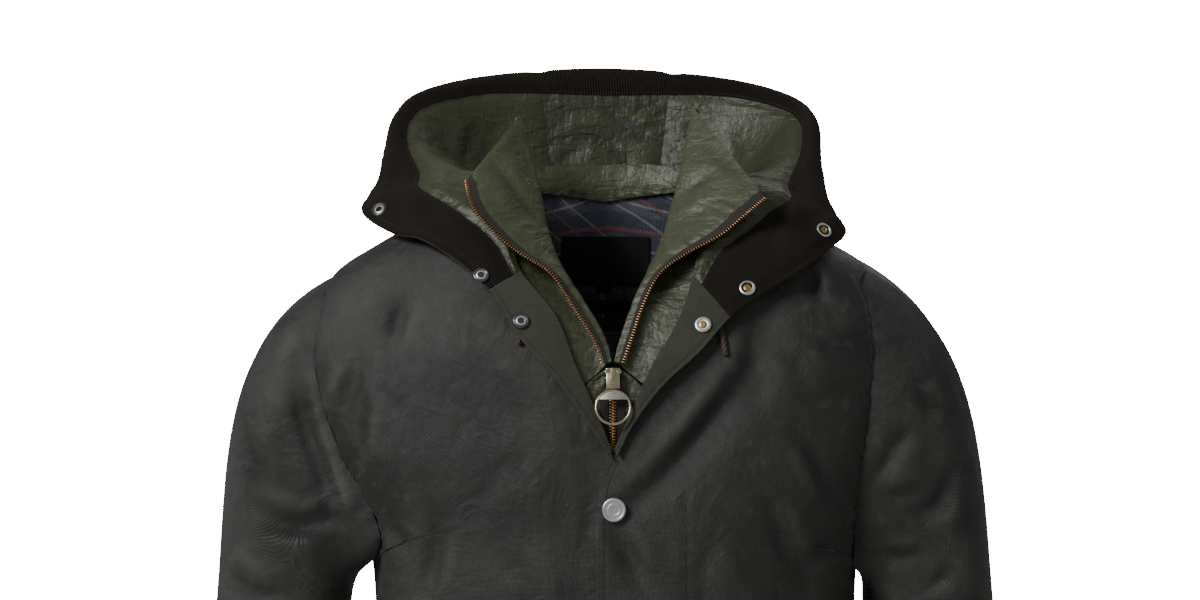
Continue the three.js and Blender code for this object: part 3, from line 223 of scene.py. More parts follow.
SLEEVE = {
    Side.LEFT: Table(("z", "x", "half_x", "y", "half_y"), (
        (-395, 299, 60.5, -6, 60), (-480, 303, 61.5, -12, 61), (-560, 307, 62, -19, 59),
        (-640, 314, 59, -29, 57), (CUFF_Z, 322, 54, -40, 53),
    )),
    Side.RIGHT: Table(("z", "x", "half_x", "y", "half_y"), (
        (-395, -298, 62.5, -6, 61), (-480, -303, 63, -12, 61), (-560, -308, 62, -19, 59),
        (-640, -315, 59, -29, 57), (CUFF_Z, -323, 54, -40, 53),
    )),
}


@dataclass(frozen=True)
class Fold:
    """One of the largest folds, a soft trough between two places seen from the front."""

    x0: float
    z0: float
    x1: float
    z1: float
    width: float
    depth: float


FOLDS = (
    Fold(27, -298, 134, -196, 16, 5), Fold(134, -196, 146, -130, 14, 4),
    Fold(182, -92, 196, -114, 13, 5), Fold(12, -322, 40, -372, 12, 4),
    Fold(-180, -110, -192, -152, 14, 4), Fold(-220, -176, -236, -232, 14, 4),
    Fold(-150, -316, -162, -384, 15, 4), Fold(150, -420, 60, -560, 20, 4),
    Fold(-70, -440, -170, -600, 22, 4),
)
BACK_FOLDS = (
    Fold(-205, -200, -110, -320, 22, 5), Fold(210, -190, 115, -330, 20, 5),
    Fold(-150, -400, 20, -520, 24, 4), Fold(160, -470, -30, -620, 24, 4),
)


@dataclass(frozen=True)
class Station:
    """One line across the hood or lapel, from its root on the neck seam to its rim.

    A root below 1 is a place on the front edge, and above 1 on the back neck. A rim of two
    numbers lies on the front; bag and roll push the cloth out near the neck and near the rim.
    """

    root: float
    rim: tuple[float, ...]
    band: float
    lift: float = 0.0
    bag: tuple[float, float, float] = (0.0, 0.0, 0.0)
    roll: tuple[float, float, float] = (0.0, 0.0, 0.0)


HOOD = {
    Side.RIGHT: (
        Station(0.5, (5, -257), 0.2, 4), Station(0.56, (-18, -224), 0.2, 6),
        Station(0.63, (-47, -185), 0.2, 8), Station(0.7, (-75, -154), 0.2, 9),
        Station(0.78, (-104, -111), 0.24, 10), Station(0.84, (-132, -86), 0.3, 12),
        Station(0.9, (-165, -69), 0.42, 15),
        Station(0.95, (-196, -46, -54), 0.5, 0, (2, -8, 6), (0, -6, 6)),
        Station(0.985, (-224, -20, -36), 0.56, 0, (0, -4, 10), (-4, -4, 10)),
        Station(1.015, (-219, 2, -19), 0.6, 0, (-2, 3, 7), (-7, -2, 9)),
        Station(1.05, (-212, 24, -2), 0.63, 0, (-4, 10, 4), (-10, 0, 8)),
        Station(1.16, (-208, 74, 28), 0.68, 0, (-6, 30, -30), (-36, 2, 44)),
        Station(1.26, (-198, 104, 46), 0.69, 0, (-12, 44, -60), (-46, 4, 84)),
        Station(1.38, (-176, 130, 61), 0.69, 0, (-16, 58, -94), (-39, 8, 115)),
        Station(1.66, (-115, 168, 69), 0.69, 0, (-12, 84, -140), (-20, -4, 156)),
        Station(2, (0, 190, 78), 0.69, 0, (0, 78, -202), (0, -22, 172)),
    ),
    Side.LEFT: (
        Station(0.5, (11, -256), 0.2, 4), Station(0.56, (25, -228), 0.2, 6),
        Station(0.63, (51, -194), 0.2, 8), Station(0.7, (83, -165), 0.2, 9),
        Station(0.78, (111, -135), 0.24, 10), Station(0.84, (140, -115), 0.3, 12),
        Station(0.9, (175, -95), 0.42, 15),
        Station(0.95, (203, -46, -70), 0.5, 0, (-2, -8, 6), (0, -6, 6)),
        Station(0.985, (221, -26, -55), 0.57, 0, (0, -4, 12), (4, -4, 12)),
        Station(1.015, (213, -9, -37), 0.6, 0, (2, 3, 9), (7, -2, 11)),
        Station(1.05, (206, 10, -18), 0.63, 0, (4, 10, 6), (11, 0, 12)),
        Station(1.16, (203, 68, 17), 0.68, 0, (6, 30, -34), (38, 0, 49)),
        Station(1.26, (199, 102, 41), 0.69, 0, (12, 44, -60), (46, 4, 83)),
        Station(1.38, (176, 130, 57), 0.69, 0, (16, 58, -94), (42, 8, 113)),
        Station(1.66, (116, 168, 67), 0.69, 0, (12, 84, -140), (21, -4, 154)),
        Station(2, (0, 190, 78), 0.69, 0, (0, 78, -202), (0, -22, 172)),
    ),
}
CENTRE_PANEL = 0.963


@dataclass(frozen=True)
class Turn:
    """One section of the turned collar: its root, its fold line and the edge with the zip."""

    root: float
    fold: tuple[float, float, float]
    zip: tuple[float, float, float]


COLLAR = {
    Side.RIGHT: (
        Turn(0.6, (4.5, -112, -173), (-2, -120, -172)), Turn(0.66, (-2, -102, -150), (-9, -115, -152)),
        Turn(0.72, (-22, -89, -116), (-31, -104, -117)), Turn(0.78, (-36, -75, -97), (-50, -99, -91)),
        Turn(0.86, (-48, -58, -72), (-80, -93, -72)), Turn(0.94, (-57, -38, -42), (-105, -87, -51)),
        Turn(1.0, (-66, -16, -2), (-121, -77, -30)), Turn(1.08, (-82, 10, 54), (-127, -54, -8)),
    ),
    Side.LEFT: (
        Turn(0.6, (9, -112, -173), (15, -120, -172)), Turn(0.66, (15, -102, -150), (22, -115, -152)),
        Turn(0.72, (28, -89, -116), (34, -104, -117)), Turn(0.78, (38, -75, -97), (49, -99, -91)),
        Turn(0.86, (49, -58, -72), (73, -94, -74)), Turn(0.94, (60, -38, -42), (103, -93, -58)),
        Turn(1.0, (71, -16, 0), (123, -88, -42)), Turn(1.08, (84, 10, 62), (145, -74, -24)),
    ),
}
FOLD_HALF = 2.6
COLLAR_ROOT_LIFT = -WAX - SEAM - 1.5

ZIP_STAND = 3.4
TAPE_STAND = 1.4
TAPE_LIFT = 0.5
CHAIN_WIDTH = 3.4


def torso_plain(angle: Array, z: Array) -> Array:
    """Point of the torso without folds.

    Args:
        angle: Turn from the front centre, positive to the wearer's left.
        z: Height.

    Returns:
        Points in millimetres.
    """
    square = TORSO.at(z, "square")
    across = signed_power(np.sin(angle), 2 / square)
    depth = signed_power(np.cos(angle), 2 / square)
    reach = np.where(depth > 0, TORSO.at(z, "front"), TORSO.at(z, "back"))
    return stack(TORSO.at(z, "centre") + TORSO.at(z, "half") * across, -depth * reach, z)


def angle_of(x: Array, z: Array, back: bool = False) -> Array:
    """Turn of the place under a point seen from the front, or on the back."""
    ratio = np.clip((x - TORSO.at(z, "centre")) / TORSO.at(z, "half"), -1, 1)
    angle = np.arcsin(signed_power(ratio, TORSO.at(z, "square") / 2))
    side = np.where(np.asarray(x) < 0, -1.0, 1.0)
    return side * math.pi - angle if back else angle


def torso_normal(angle: Array, z: Array) -> Array:
    """Outward direction of the torso without folds."""
    along = torso_plain(angle + 0.01, z) - torso_plain(angle - 0.01, z)
    up = torso_plain(angle, z + 0.5) - torso_plain(angle, z - 0.5)
    return unit(np.cross(along, up))


def fold_depth(folds: tuple[Fold, ...], x: Array, z: Array) -> Array:
    """How deep the largest folds press the cloth in at places seen from the front."""
    total = np.zeros(np.broadcast(x, z).shape)
    for f in folds:
        run_x, run_z = f.x1 - f.x0, f.z1 - f.z0
        t = np.clip(((x - f.x0) * run_x + (z - f.z0) * run_z) / (run_x**2 + run_z**2), 0, 1)
        away = np.hypot(x - f.x0 - t * run_x, z - f.z0 - t * run_z)
        total += f.depth * np.exp(-((away / f.width) ** 2)) * (0.55 + 0.45 * np.sin(math.pi * t))
    return total


def on_torso(angle: Array, z: Array, lift: Array | float = 0.0) -> Array:
    """Point of the torso with its folds, moved out by a lift."""
    point = torso_plain(angle, z)
    pressed = np.where(np.abs(angle) > math.pi / 2, fold_depth(BACK_FOLDS, point[..., 0], z),
                       fold_depth(FOLDS, point[..., 0], z))
    pressed = lift - pressed * smoothstep(np.abs(np.cos(angle)), 0.25, 0.6)
    return point + torso_normal(angle, z) * pressed[..., None]


def front_edge(side: Side, at: Array) -> tuple[Array, Array]:
    """Turn and height of a place on the edge of a front."""
    x, z = FRONT_EDGE[side].at(at, "x"), FRONT_EDGE[side].at(at, "z")
    return np.where(np.asarray(at) >= 1, side.value * math.pi / 2, angle_of(x, z)), z


def armhole_edge(side: Side, at: Array, back: bool) -> tuple[Array, Array]:
    """Turn and height of a place on the armhole seam, from the armpit (0) to the shoulder (1)."""
    rows = np.array(ARMHOLE[side].rows, float)
    ends = rows[:, 3 if back else 2]
    angles = angle_of(side.value * ends, rows[:, 1], back)
    angles = np.where(ends == RIDGE, side.value * math.pi / 2, angles)
    return smooth_value(rows[:, 0], angles, at), ARMHOLE[side].at(at, "z")


ARMPIT_ROW = 0.42


def side_edge(side: Side, at: Array, back: bool = False) -> tuple[Array, Array]:
    """Side seam below the armpit, then the armhole."""
    hole = armhole_edge(side, np.clip((at - ARMPIT_ROW) / (1 - ARMPIT_ROW), 0, 1), back)
    low = at < ARMPIT_ROW
    z = lerp(HEM_Z, ARMHOLE[side].rows[0][1], np.clip(at / ARMPIT_ROW, 0, 1))
    return np.where(low, side.value * math.pi / 2, hole[0]), np.where(low, z, hole[1])


def back_neck(side: Side, t: Array) -> tuple[Array, Array]:
    """Turn and height on the back neck seam, from the shoulder (0) to the centre (1)."""
    turn = np.asarray(t, float) * math.pi / 2
    x = side.value * np.maximum(NECK_HALF * np.cos(turn), 1e-6)
    z = NECK_TOP_Z - NECK_BACK_DROP * (1 - np.cos(turn))
    return np.where(turn <= 0, side.value * math.pi / 2, angle_of(x, z, True)), z


def root_place(side: Side, root: float) -> tuple[Array, Array]:
    """Place of a hood or collar root on the front edge or the back neck."""
    return front_edge(side, root) if root <= 1 else back_neck(side, root - 1)


def station_curve(side: Side, station: Station) -> Array:
    """The four control points of one line across the hood."""
    angle, z = root_place(side, station.root)
    lift = NECK_SHELL_LIFT if station.root > 0.88 else SHELL_LIFT
    start = on_torso(angle, z, lift)
    if len(station.rim) == 2:
        t = np.array([0, 1 / 3, 2 / 3, 1])
        x = lerp(start[0], station.rim[0], t)
        height = lerp(z, station.rim[1], t)
        line = on_torso(angle_of(x, height), height, lerp(SHELL_LIFT, station.lift, t**0.7))
        line[0] = start
        return line
    rim = np.array(station.rim, float)
    return np.stack([start, lerp(start, rim, 1 / 3) + station.bag,
                     lerp(start, rim, 2 / 3) + station.roll, rim])


def catmull(a: Array, b: Array, c: Array, d: Array, t: Array) -> Array:
    """Catmull-Rom value between b and c."""
    m0, m1 = (c - a) / 2, (d - b) / 2
    t2, t3 = t * t, t * t * t
    return (2 * t3 - 3 * t2 + 1) * b + (t3 - 2 * t2 + t) * m0 + (3 * t2 - 2 * t3) * c + (t3 - t2) * m1


def bezier(a: Array, b: Array, c: Array, d: Array, t: Array) -> Array:
    """Point of a cubic from a to d."""
    s = 1 - t
    return s**3 * a + 3 * s * s * t * b + 3 * s * t * t * c + t**3 * d


class HoodSurface:
    """One half of the hood and lapel: u from the V point to the back centre, v out to the rim."""

    def __init__(self, side: Side) -> None:
        """Works out the control lines of a side."""
        self.side = side
        lines = [station_curve(side, s) for s in HOOD[side]]
        lines.append(station_curve(side.other, HOOD[side.other][-2]))
        self.lines = np.stack(lines)
        self.last = len(HOOD[side]) - 1

    def at(self, u: Array, v: Array) -> Array:
        """Points of the surface."""
        u, v = np.broadcast_arrays(np.asarray(u, float), np.asarray(v, float))
        scaled = np.clip(u, 0, 1.05) * self.last
        k = np.minimum(np.floor(scaled).astype(int), self.last)
        t = (scaled - k)[..., None, None]
        pick = [self.lines[np.clip(k + d, 0, self.last + 1)] for d in (-1, 0, 1, 2)]
        line = catmull(*pick, t)
        v = np.clip(v, 0, 1)[..., None]
        return bezier(line[..., 0, :], line[..., 1, :], line[..., 2, :], line[..., 3, :], v)

    def normal(self, u: Array, v: Array) -> Array:
        """Direction to the lined side."""
        u, v = np.clip(u, 0.012, 1), np.clip(v, 0.012, 0.988)
        along = self.at(u + 0.01, v) - self.at(u - 0.01, v)
        across = self.at(u, v + 0.01) - self.at(u, v - 0.01)
        return unit(np.cross(along, across)) * -self.side.value

    def share(self, root: float) -> float:
        """Place along u of a root."""
        roots = np.array([s.root for s in HOOD[self.side]], float)
        return float(smooth_value(roots, np.linspace(0, 1, self.last + 1), root))

    def band(self, u: Array) -> Array:
        """Place along v where the corduroy band starts."""
        bands = np.array([s.band for s in HOOD[self.side]], float)
        return smooth_value(np.linspace(0, 1, self.last + 1), bands, u)


class CollarSurface:
    """One side of the turned collar: u along the neck, v from the root over the fold to the zip."""

    def __init__(self, side: Side) -> None:
        """Works out the sections of a side."""
        self.side = side
        rows = COLLAR[side]
        last = len(rows) - 1
        self.sections = np.stack([
            self.section(row, rows[max(k - 1, 0)], rows[min(k + 1, last)])
            for k, row in enumerate(rows)
        ])

    def section(self, row: Turn, before: Turn, after: Turn) -> Array:
        """Control points of one section."""
        root = on_torso(*root_place(self.side, row.root), COLLAR_ROOT_LIFT)
        fold, zip_edge = np.array(row.fold, float), np.array(row.zip, float)
        width = np.linalg.norm(zip_edge - fold)
        out = unit(zip_edge - fold)
        edge = zip_edge - out * min(ZIP_STAND, 0.4 * width)
        along = unit(np.array(after.fold, float) - np.array(before.fold, float))
        up = unit(np.cross(along, out)) * -self.side.value
        reach = min(FOLD_HALF, 0.3 * width)
        return np.stack([
            root, lerp(root, fold, 0.6) - up * reach, fold + (out - up) * reach, fold,
            fold + (out + up) * reach, lerp(fold, edge, 0.5) + up * (reach + 1.4), edge,
        ])

    def at(self, u: Array, v: Array) -> Array:
        """Points of the surface."""
        u, v = np.broadcast_arrays(np.asarray(u, float), np.asarray(v, float))
        rows, cols = self.sections.shape[:2]
        su, sv = np.clip(u, 0, 1) * (rows - 1), np.clip(v, 0, 1) * (cols - 1)
        k = np.minimum(np.floor(su).astype(int), rows - 2)
        j = np.minimum(np.floor(sv).astype(int), cols - 2)
        tu, tv = (su - k)[..., None], (sv - j)[..., None]
        across = [
            catmull(*[self.sections[np.clip(k + dk, 0, rows - 1), np.clip(j + dj, 0, cols - 1)]
                      for dj in (-1, 0, 1, 2)], tv)
            for dk in (-1, 0, 1, 2)
        ]
        return catmull(*across, tu)

    def normal(self, u: Array, v: Array) -> Array:
        """Direction away from the hidden side."""
        u, v = np.clip(u, 0.011, 0.989), np.clip(v, 0.011, 0.989)
        along = self.at(u + 0.01, v) - self.at(u - 0.01, v)
        across = self.at(u, v + 0.01) - self.at(u, v - 0.01)
        return unit(np.cross(along, across)) * -self.side.value

    def beyond(self, u: Array, out: float, up: float) -> Array:
        """Points out past the free edge along the face, and up from it."""
        away = unit(self.at(u, 1.0) - self.at(u, 0.94))
        return self.at(u, 1.0) + away * out + self.normal(u, 1.0) * up


HOODS = {side: HoodSurface(side) for side in Side}
COLLARS = {side: CollarSurface(side) for side in Side}


@dataclass(frozen=True)
class Crease:
    """A soft trough along a line seen from the front, with a ridge beside it.

    The ridge is a share of the depth and lies on the left of the line's run, or on its right
    where it is below 0. A depth below 0 raises the line instead.
    """

    path: tuple[tuple[float, float], ...]
    width: float
    depth: float
    ridge: float = 0.4
    back: bool = False

    def field(self, x: Array, z: Array) -> Array:
        """Offset along the cloth's normal at places seen from the front."""
        path = np.array(self.path, float)
        steps = np.linalg.norm(np.diff(path, axis=0), axis=1)
        total = steps.sum()
        best = np.full(x.shape, np.inf)
        signed, run = np.zeros(x.shape), np.zeros(x.shape)
        done = 0.0
        for (ax, az), (bx, bz), step in zip(path[:-1], path[1:], steps):
            dx, dz = (bx - ax) / step, (bz - az) / step
            t = np.clip((x - ax) * dx + (z - az) * dz, 0, step)
            away = np.hypot(x - ax - t * dx, z - az - t * dz)
            near = away < best
            cross = dx * (z - az) - dz * (x - ax)
            best = np.where(near, away, best)
            signed = np.where(near, np.sign(cross) * away, signed)
            run = np.where(near, (done + t) / total, run)
            done += step
        swell = np.sin(math.pi * np.clip(run, 0, 1))
        trough = -self.depth * np.exp(-((best / self.width) ** 2)) * (0.35 + 0.65 * swell)
        side = math.copysign(1, self.ridge or 1)
        beside = np.exp(-(((side * signed - 1.7 * self.width) / (1.1 * self.width)) ** 2))
        return trough + abs(self.ridge) * self.depth * beside * np.sqrt(np.maximum(swell, 0))


def uneven(run: Array, pitch: float, seed: float) -> Array:
    """A wave of uneven pitch and height, for puckers and gathers."""
    drift = 1.3 * np.sin(2 * math.pi * run / (pitch * 2.7) + seed)
    first = np.sin(2 * math.pi * run / pitch + drift)
    second = np.sin(2 * math.pi * run / (pitch * 0.61) + 2 * seed + drift)
    height = 0.65 + 0.35 * np.sin(2 * math.pi * run / (pitch * 4.3) + 3 * seed)
    return (first + 0.5 * second) / 1.5 * height


@dataclass
class Cloth:
    """A cut-and-sewn piece as a grid of points, which folds, puckers and creases move."""

    name: str
    points: Array
    normals: Array
    round: bool = False
    relief: Array | None = None

    def __post_init__(self) -> None:
        """Starts with no relief."""
        if self.relief is None:
            self.relief = np.zeros(self.points.shape[:2])

    def from_edge(self, edge: Edge) -> Array:
        """Distance along the cloth from an edge, at each point."""
        axis = 0 if edge in (Edge.FIRST_ROW, Edge.LAST_ROW) else 1
        steps = np.linalg.norm(np.diff(self.points, axis=axis), axis=2)
        if edge in (Edge.LAST_ROW, Edge.LAST_COL):
            steps = np.flip(steps, axis)
        start = np.zeros_like(np.take(steps, [0], axis))
        total = np.concatenate([start, np.cumsum(steps, axis)], axis)
        return np.flip(total, axis) if edge in (Edge.LAST_ROW, Edge.LAST_COL) else total

    def along_edge(self, edge: Edge) -> Array:
        """Run along an edge, carried across the cloth."""
        if edge in (Edge.FIRST_ROW, Edge.LAST_ROW):
            row = self.points[0 if edge is Edge.FIRST_ROW else -1]
            run = np.concatenate([[0], np.cumsum(np.linalg.norm(np.diff(row, axis=0), axis=1))])
            return np.broadcast_to(run[None, :], self.points.shape[:2])
        col = self.points[:, 0 if edge is Edge.FIRST_COL else -1]
        run = np.concatenate([[0], np.cumsum(np.linalg.norm(np.diff(col, axis=0), axis=1))])
        return np.broadcast_to(run[:, None], self.points.shape[:2])

    def move(self, offset: Array) -> "Cloth":
        """Moves the points along their normals and keeps the sum as relief."""
        self.points = self.points + self.normals * offset[..., None]
        self.relief = self.relief + offset
        return self

    def crease(self, creases: tuple[Crease, ...], scale: float = 1.0) -> "Cloth":
        """Presses creases in where the cloth faces the side they are drawn on."""
        total = np.zeros(self.points.shape[:2])
        x, z = self.points[..., 0], self.points[..., 2]
        for crease in creases:
            facing = self.normals[..., 1] * (1 if crease.back else -1)
            total += crease.field(x, z) * smoothstep(facing, 0.05, 0.4)
        return self.move(total * scale)

    def pucker(self, edge: Edge, pitch: float, depth: float, reach: float, seed: float,
               where: Array | float = 1.0) -> "Cloth":
        """Gathers the cloth in small uneven puckers that fade away from a seam."""
        fade = np.exp(-((self.from_edge(edge) / reach) ** 1.5))
        return self.move(depth * uneven(self.along_edge(edge), pitch, seed) * fade * where)

    def piping(self, edge: Edge, inset: float, width: float, depth: float) -> "Cloth":
        """Presses a soft line in beside an edge, where the stitching holds the layers together."""
        away = (self.from_edge(edge) - inset) / width
        return self.move(-depth * np.exp(-(away**2)))

    def fair(self) -> Array:
        """Normals of the moved points, on the side of the first ones."""
        points = self.points
        if self.round:
            along = np.roll(points, -1, 1) - np.roll(points, 1, 1)
        else:
            along = np.gradient(points, axis=1)
        down = np.gradient(points, axis=0)
        normals = unit(np.cross(down, along))
        return normals * np.sign(np.sum(normals * self.normals, axis=2, keepdims=True) + 1e-9)

    def inset(self, edge: Edge, distance: float, lift: float = 0.15,
              first: int = 0, last: int | None = None) -> tuple[Array, Array]:
        """A line on the cloth at a distance from an edge.

        Args:
            edge: The edge that it follows.
            distance: How far inside the edge it runs.
            lift: How far above the cloth it lies.
            first: First grid line that it crosses.
            last: Line that it stops before, or None for all.

        Returns:
            Points and normals along it.
        """
        away, points, normals = self.from_edge(edge), self.points, self.fair()
        if edge in (Edge.FIRST_ROW, Edge.LAST_ROW):
            away, points, normals = away.T, points.transpose(1, 0, 2), normals.transpose(1, 0, 2)
        if edge in (Edge.LAST_ROW, Edge.LAST_COL):
            away, points, normals = away[:, ::-1], points[:, ::-1], normals[:, ::-1]
        line, facing = [], []
        for k in range(first, len(points) if last is None else last):
            line.append([np.interp(distance, away[k], points[k][:, axis]) for axis in range(3)])
            facing.append([np.interp(distance, away[k], normals[k][:, axis]) for axis in range(3)])
        facing = unit(np.array(facing))
        return np.array(line) + facing * lift, facing

    def build(self, thickness: float, finish: "Finish", replaces: str, rests_on: tuple[str, ...],
              held: str = "draped") -> bpy.types.Object:
        """Makes the piece: the sheet, its wall and its finish, and hides the CAD node that it replaces.

        Args:
            thickness: Wall in millimetres, below the points.
            finish: What it is made of.
            replaces: The CAD node that it stands for.
            rests_on: What it lies on or hangs from; not used.
            held: How it is held; not used.

        Returns:
            The object.
        """
        rows, cols = self.points.shape[:2]
        index = np.arange(rows * cols).reshape(rows, cols)
        if self.round:
            index = np.concatenate([index, index[:, :1]], axis=1)
        a, b = index[:-1, :-1].ravel(), index[:-1, 1:].ravel()
        c, d = index[1:, 1:].ravel(), index[1:, :-1].ravel()
        mid = (rows // 2, cols // 2)
        step = np.cross(self.points[mid[0] + 1, mid[1]] - self.points[mid],
                        self.points[mid[0], mid[1] + 1] - self.points[mid])
        order = (a, d, c, b) if np.dot(step, self.normals[mid]) > 0 else (a, b, c, d)
        piece = mesh_object(self.name, self.points.reshape(-1, 3), np.stack(order, axis=1))
        run = self.from_edge(Edge.FIRST_COL)
        fall = self.from_edge(Edge.FIRST_ROW)
        lay_uv(piece, run, fall, index)
        put_values(piece, "relief", np.clip(self.relief / 3, -1, 1).ravel())
        wall = piece.modifiers.new("Wall", "SOLIDIFY")
        wall.thickness = thickness * MM
        wall.offset = -1
        wall.use_rim = True
        apply_all(piece)
        bpy.ops.object.shade_smooth_by_angle(angle=math.radians(50))
        dress(piece, finish, "jacket", replaces)
        return piece


def mesh_object(name: str, points: Array, faces: Array | list) -> bpy.types.Object:
    """A new object from points in millimetres and faces."""
    mesh = bpy.data.meshes.new(name)
    mesh.from_pydata((np.asarray(points, float) * MM).tolist(), [],
                     faces.tolist() if isinstance(faces, np.ndarray) else faces)
    mesh.update()
    piece = bpy.data.objects.new(name, mesh)
    bpy.context.scene.collection.objects.link(piece)
    return piece


def lay_uv(piece: bpy.types.Object, run: Array, fall: Array, index: Array) -> None:
    """Lays the UV map flat in metres, from the runs along and down the cloth."""
    layer = piece.data.uv_layers.new(name="cloth")
    vertices = np.empty(len(piece.data.loops), int)
    piece.data.loops.foreach_get("vertex_index", vertices)
    u, v = run.ravel() * MM, fall.ravel() * MM
    if index.shape[1] > run.shape[1]:
        girth = np.concatenate([run[:, -1] * MM + (run[:, 1] - run[:, 0]) * MM])
        cols = run.shape[1]
        corner = vertices.reshape(-1, 4)
        wraps = (corner % cols == 0).any(1) & (corner % cols == cols - 1).any(1)
        flat_u = u[corner]
        flat_u = np.where(wraps[:, None] & (corner % cols == 0), girth[corner // cols], flat_u)
        coords = np.stack([flat_u.ravel(), v[vertices]], axis=1)
    else:
        coords = np.stack([u[vertices], v[vertices]], axis=1)
    layer.data.foreach_set("uv", coords.ravel())


def put_values(piece: bpy.types.Object, name: str, values: Array) -> None:
    """Stores a number at each vertex for the finish to read."""
    layer = piece.data.attributes.new(name, "FLOAT", "POINT")
    layer.data.foreach_set("value", np.asarray(values, np.float32))


def clear_selection() -> None:
    """Leaves nothing selected."""
    for other in bpy.context.selected_objects:
        other.select_set(False)


def select_only(piece: bpy.types.Object) -> None:
    """Selects one object and makes it active."""
    clear_selection()
    piece.select_set(True)
    bpy.context.view_layer.objects.active = piece


def apply_all(piece: bpy.types.Object) -> None:
    """Applies the modifiers in order."""
    select_only(piece)
    for modifier in list(piece.modifiers):
        bpy.ops.object.modifier_apply(modifier=modifier.name)


def dress(piece: bpy.types.Object, finish: "Finish", body: str, *nodes: str) -> bpy.types.Object:
    """Gives a piece its finish, its body and the CAD nodes that it stands for."""
    piece.data.materials.clear()
    piece.data.materials.append(finish.material())
    if nodes:
        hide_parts(*nodes)
    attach(piece, body)
    return piece


def linear(hex_colour: str) -> tuple[float, float, float, float]:
    """Linear colour of an sRGB hex value."""
    parts = [int(hex_colour[k:k + 2], 16) / 255 for k in (1, 3, 5)]
    return (*[p / 12.92 if p <= 0.04045 else ((p + 0.055) / 1.055) ** 2.4 for p in parts], 1.0)


def add_node(tree: bpy.types.NodeTree, kind: str, values: dict | None = None,
             links: dict | None = None, **settings: object) -> bpy.types.Node:
    """Adds a node.

    Args:
        tree: The node tree of the material.
        kind: Type of the node.
        values: Values of its sockets, by name or number.
        links: Sockets that feed its sockets, by name or number.
        settings: Settings of the node itself.

    Returns:
        The node.
    """
    made = tree.nodes.new(kind)
    for key, value in settings.items():
        setattr(made, key, value)
    for key, value in (values or {}).items():
        made.inputs[key].default_value = value
    for key, source in (links or {}).items():
        tree.links.new(source, made.inputs[key])
    return made


@dataclass(frozen=True)
class Finish:
    """A material of the jacket. Each kind adds its own pattern to the shader."""

    name: str
    slot: str

    def material(self) -> bpy.types.Material:
        """The material, made once."""
        found = bpy.data.materials.get(self.name)
        if found:
            return found
        made = bpy.data.materials.new(self.name)
        made.use_nodes = True
        tree = made.node_tree
        self.paint(tree, tree.nodes["Principled BSDF"])
        return made

    def paint(self, tree: bpy.types.NodeTree, shader: bpy.types.Node) -> None:
        """Sets the shader up."""
        raise NotImplementedError


def mixed(tree: bpy.types.NodeTree, factor: bpy.types.NodeSocket, first: object,
          second: object) -> bpy.types.NodeSocket:
    """Colour between two, each a hex value or a socket."""
    values = {k: linear(c) for k, c in ((6, first), (7, second)) if isinstance(c, str)}
    links = {k: c for k, c in ((6, first), (7, second)) if not isinstance(c, str)}
    node = add_node(tree, "ShaderNodeMix", values, {0: factor, **links}, data_type="RGBA")
    return node.outputs[2]


def ranged(tree: bpy.types.NodeTree, value: bpy.types.NodeSocket, low: float, high: float,
           to_low: float, to_high: float) -> bpy.types.NodeSocket:
    """A value carried from one range to another, held at its ends."""
    return add_node(tree, "ShaderNodeMapRange", {1: low, 2: high, 3: to_low, 4: to_high},
                    {0: value}).outputs[0]


def noise_of(tree: bpy.types.NodeTree, place: bpy.types.NodeSocket, scale: float,
             stretch: tuple[float, float, float] = (1, 1, 1), detail: float = 4,
             distortion: float = 0.0) -> bpy.types.NodeSocket:
    """Noise in metres, with more of it along an axis whose stretch is higher."""
    moved = add_node(tree, "ShaderNodeMapping", {"Scale": stretch}, {"Vector": place})
    node = add_node(tree, "ShaderNodeTexNoise",
                    {"Scale": scale, "Detail": detail, "Distortion": distortion},
                    {"Vector": moved.outputs[0]})
    return node.outputs[0]


def relief_of(tree: bpy.types.NodeTree, layers: list[tuple[bpy.types.NodeSocket, float]],
              ) -> bpy.types.NodeSocket:
    """Bumps laid one on another, each with its height in millimetres."""
    normal = None
    for height, depth in layers:
        links = {"Height": height}
        if normal is not None:
            links["Normal"] = normal
        normal = add_node(tree, "ShaderNodeBump", {"Strength": 1.0, "Distance": depth * MM},
                          links).outputs[0]
    return normal


def waves(tree: bpy.types.NodeTree, place: bpy.types.NodeSocket, pitch: float, axis: str,
          wobble: float = 0.0) -> bpy.types.NodeSocket:
    """Even ribs along one axis, at a pitch in millimetres."""
    node = add_node(tree, "ShaderNodeTexWave",
                    {"Scale": 1 / (pitch * MM) * (2 * math.pi) / 20, "Distortion": wobble,
                     "Detail": 1.0, "Detail Scale": 2.0},
                    {"Vector": place}, wave_type="BANDS", bands_direction=axis,
                    wave_profile="SIN")
    return node.outputs[1]


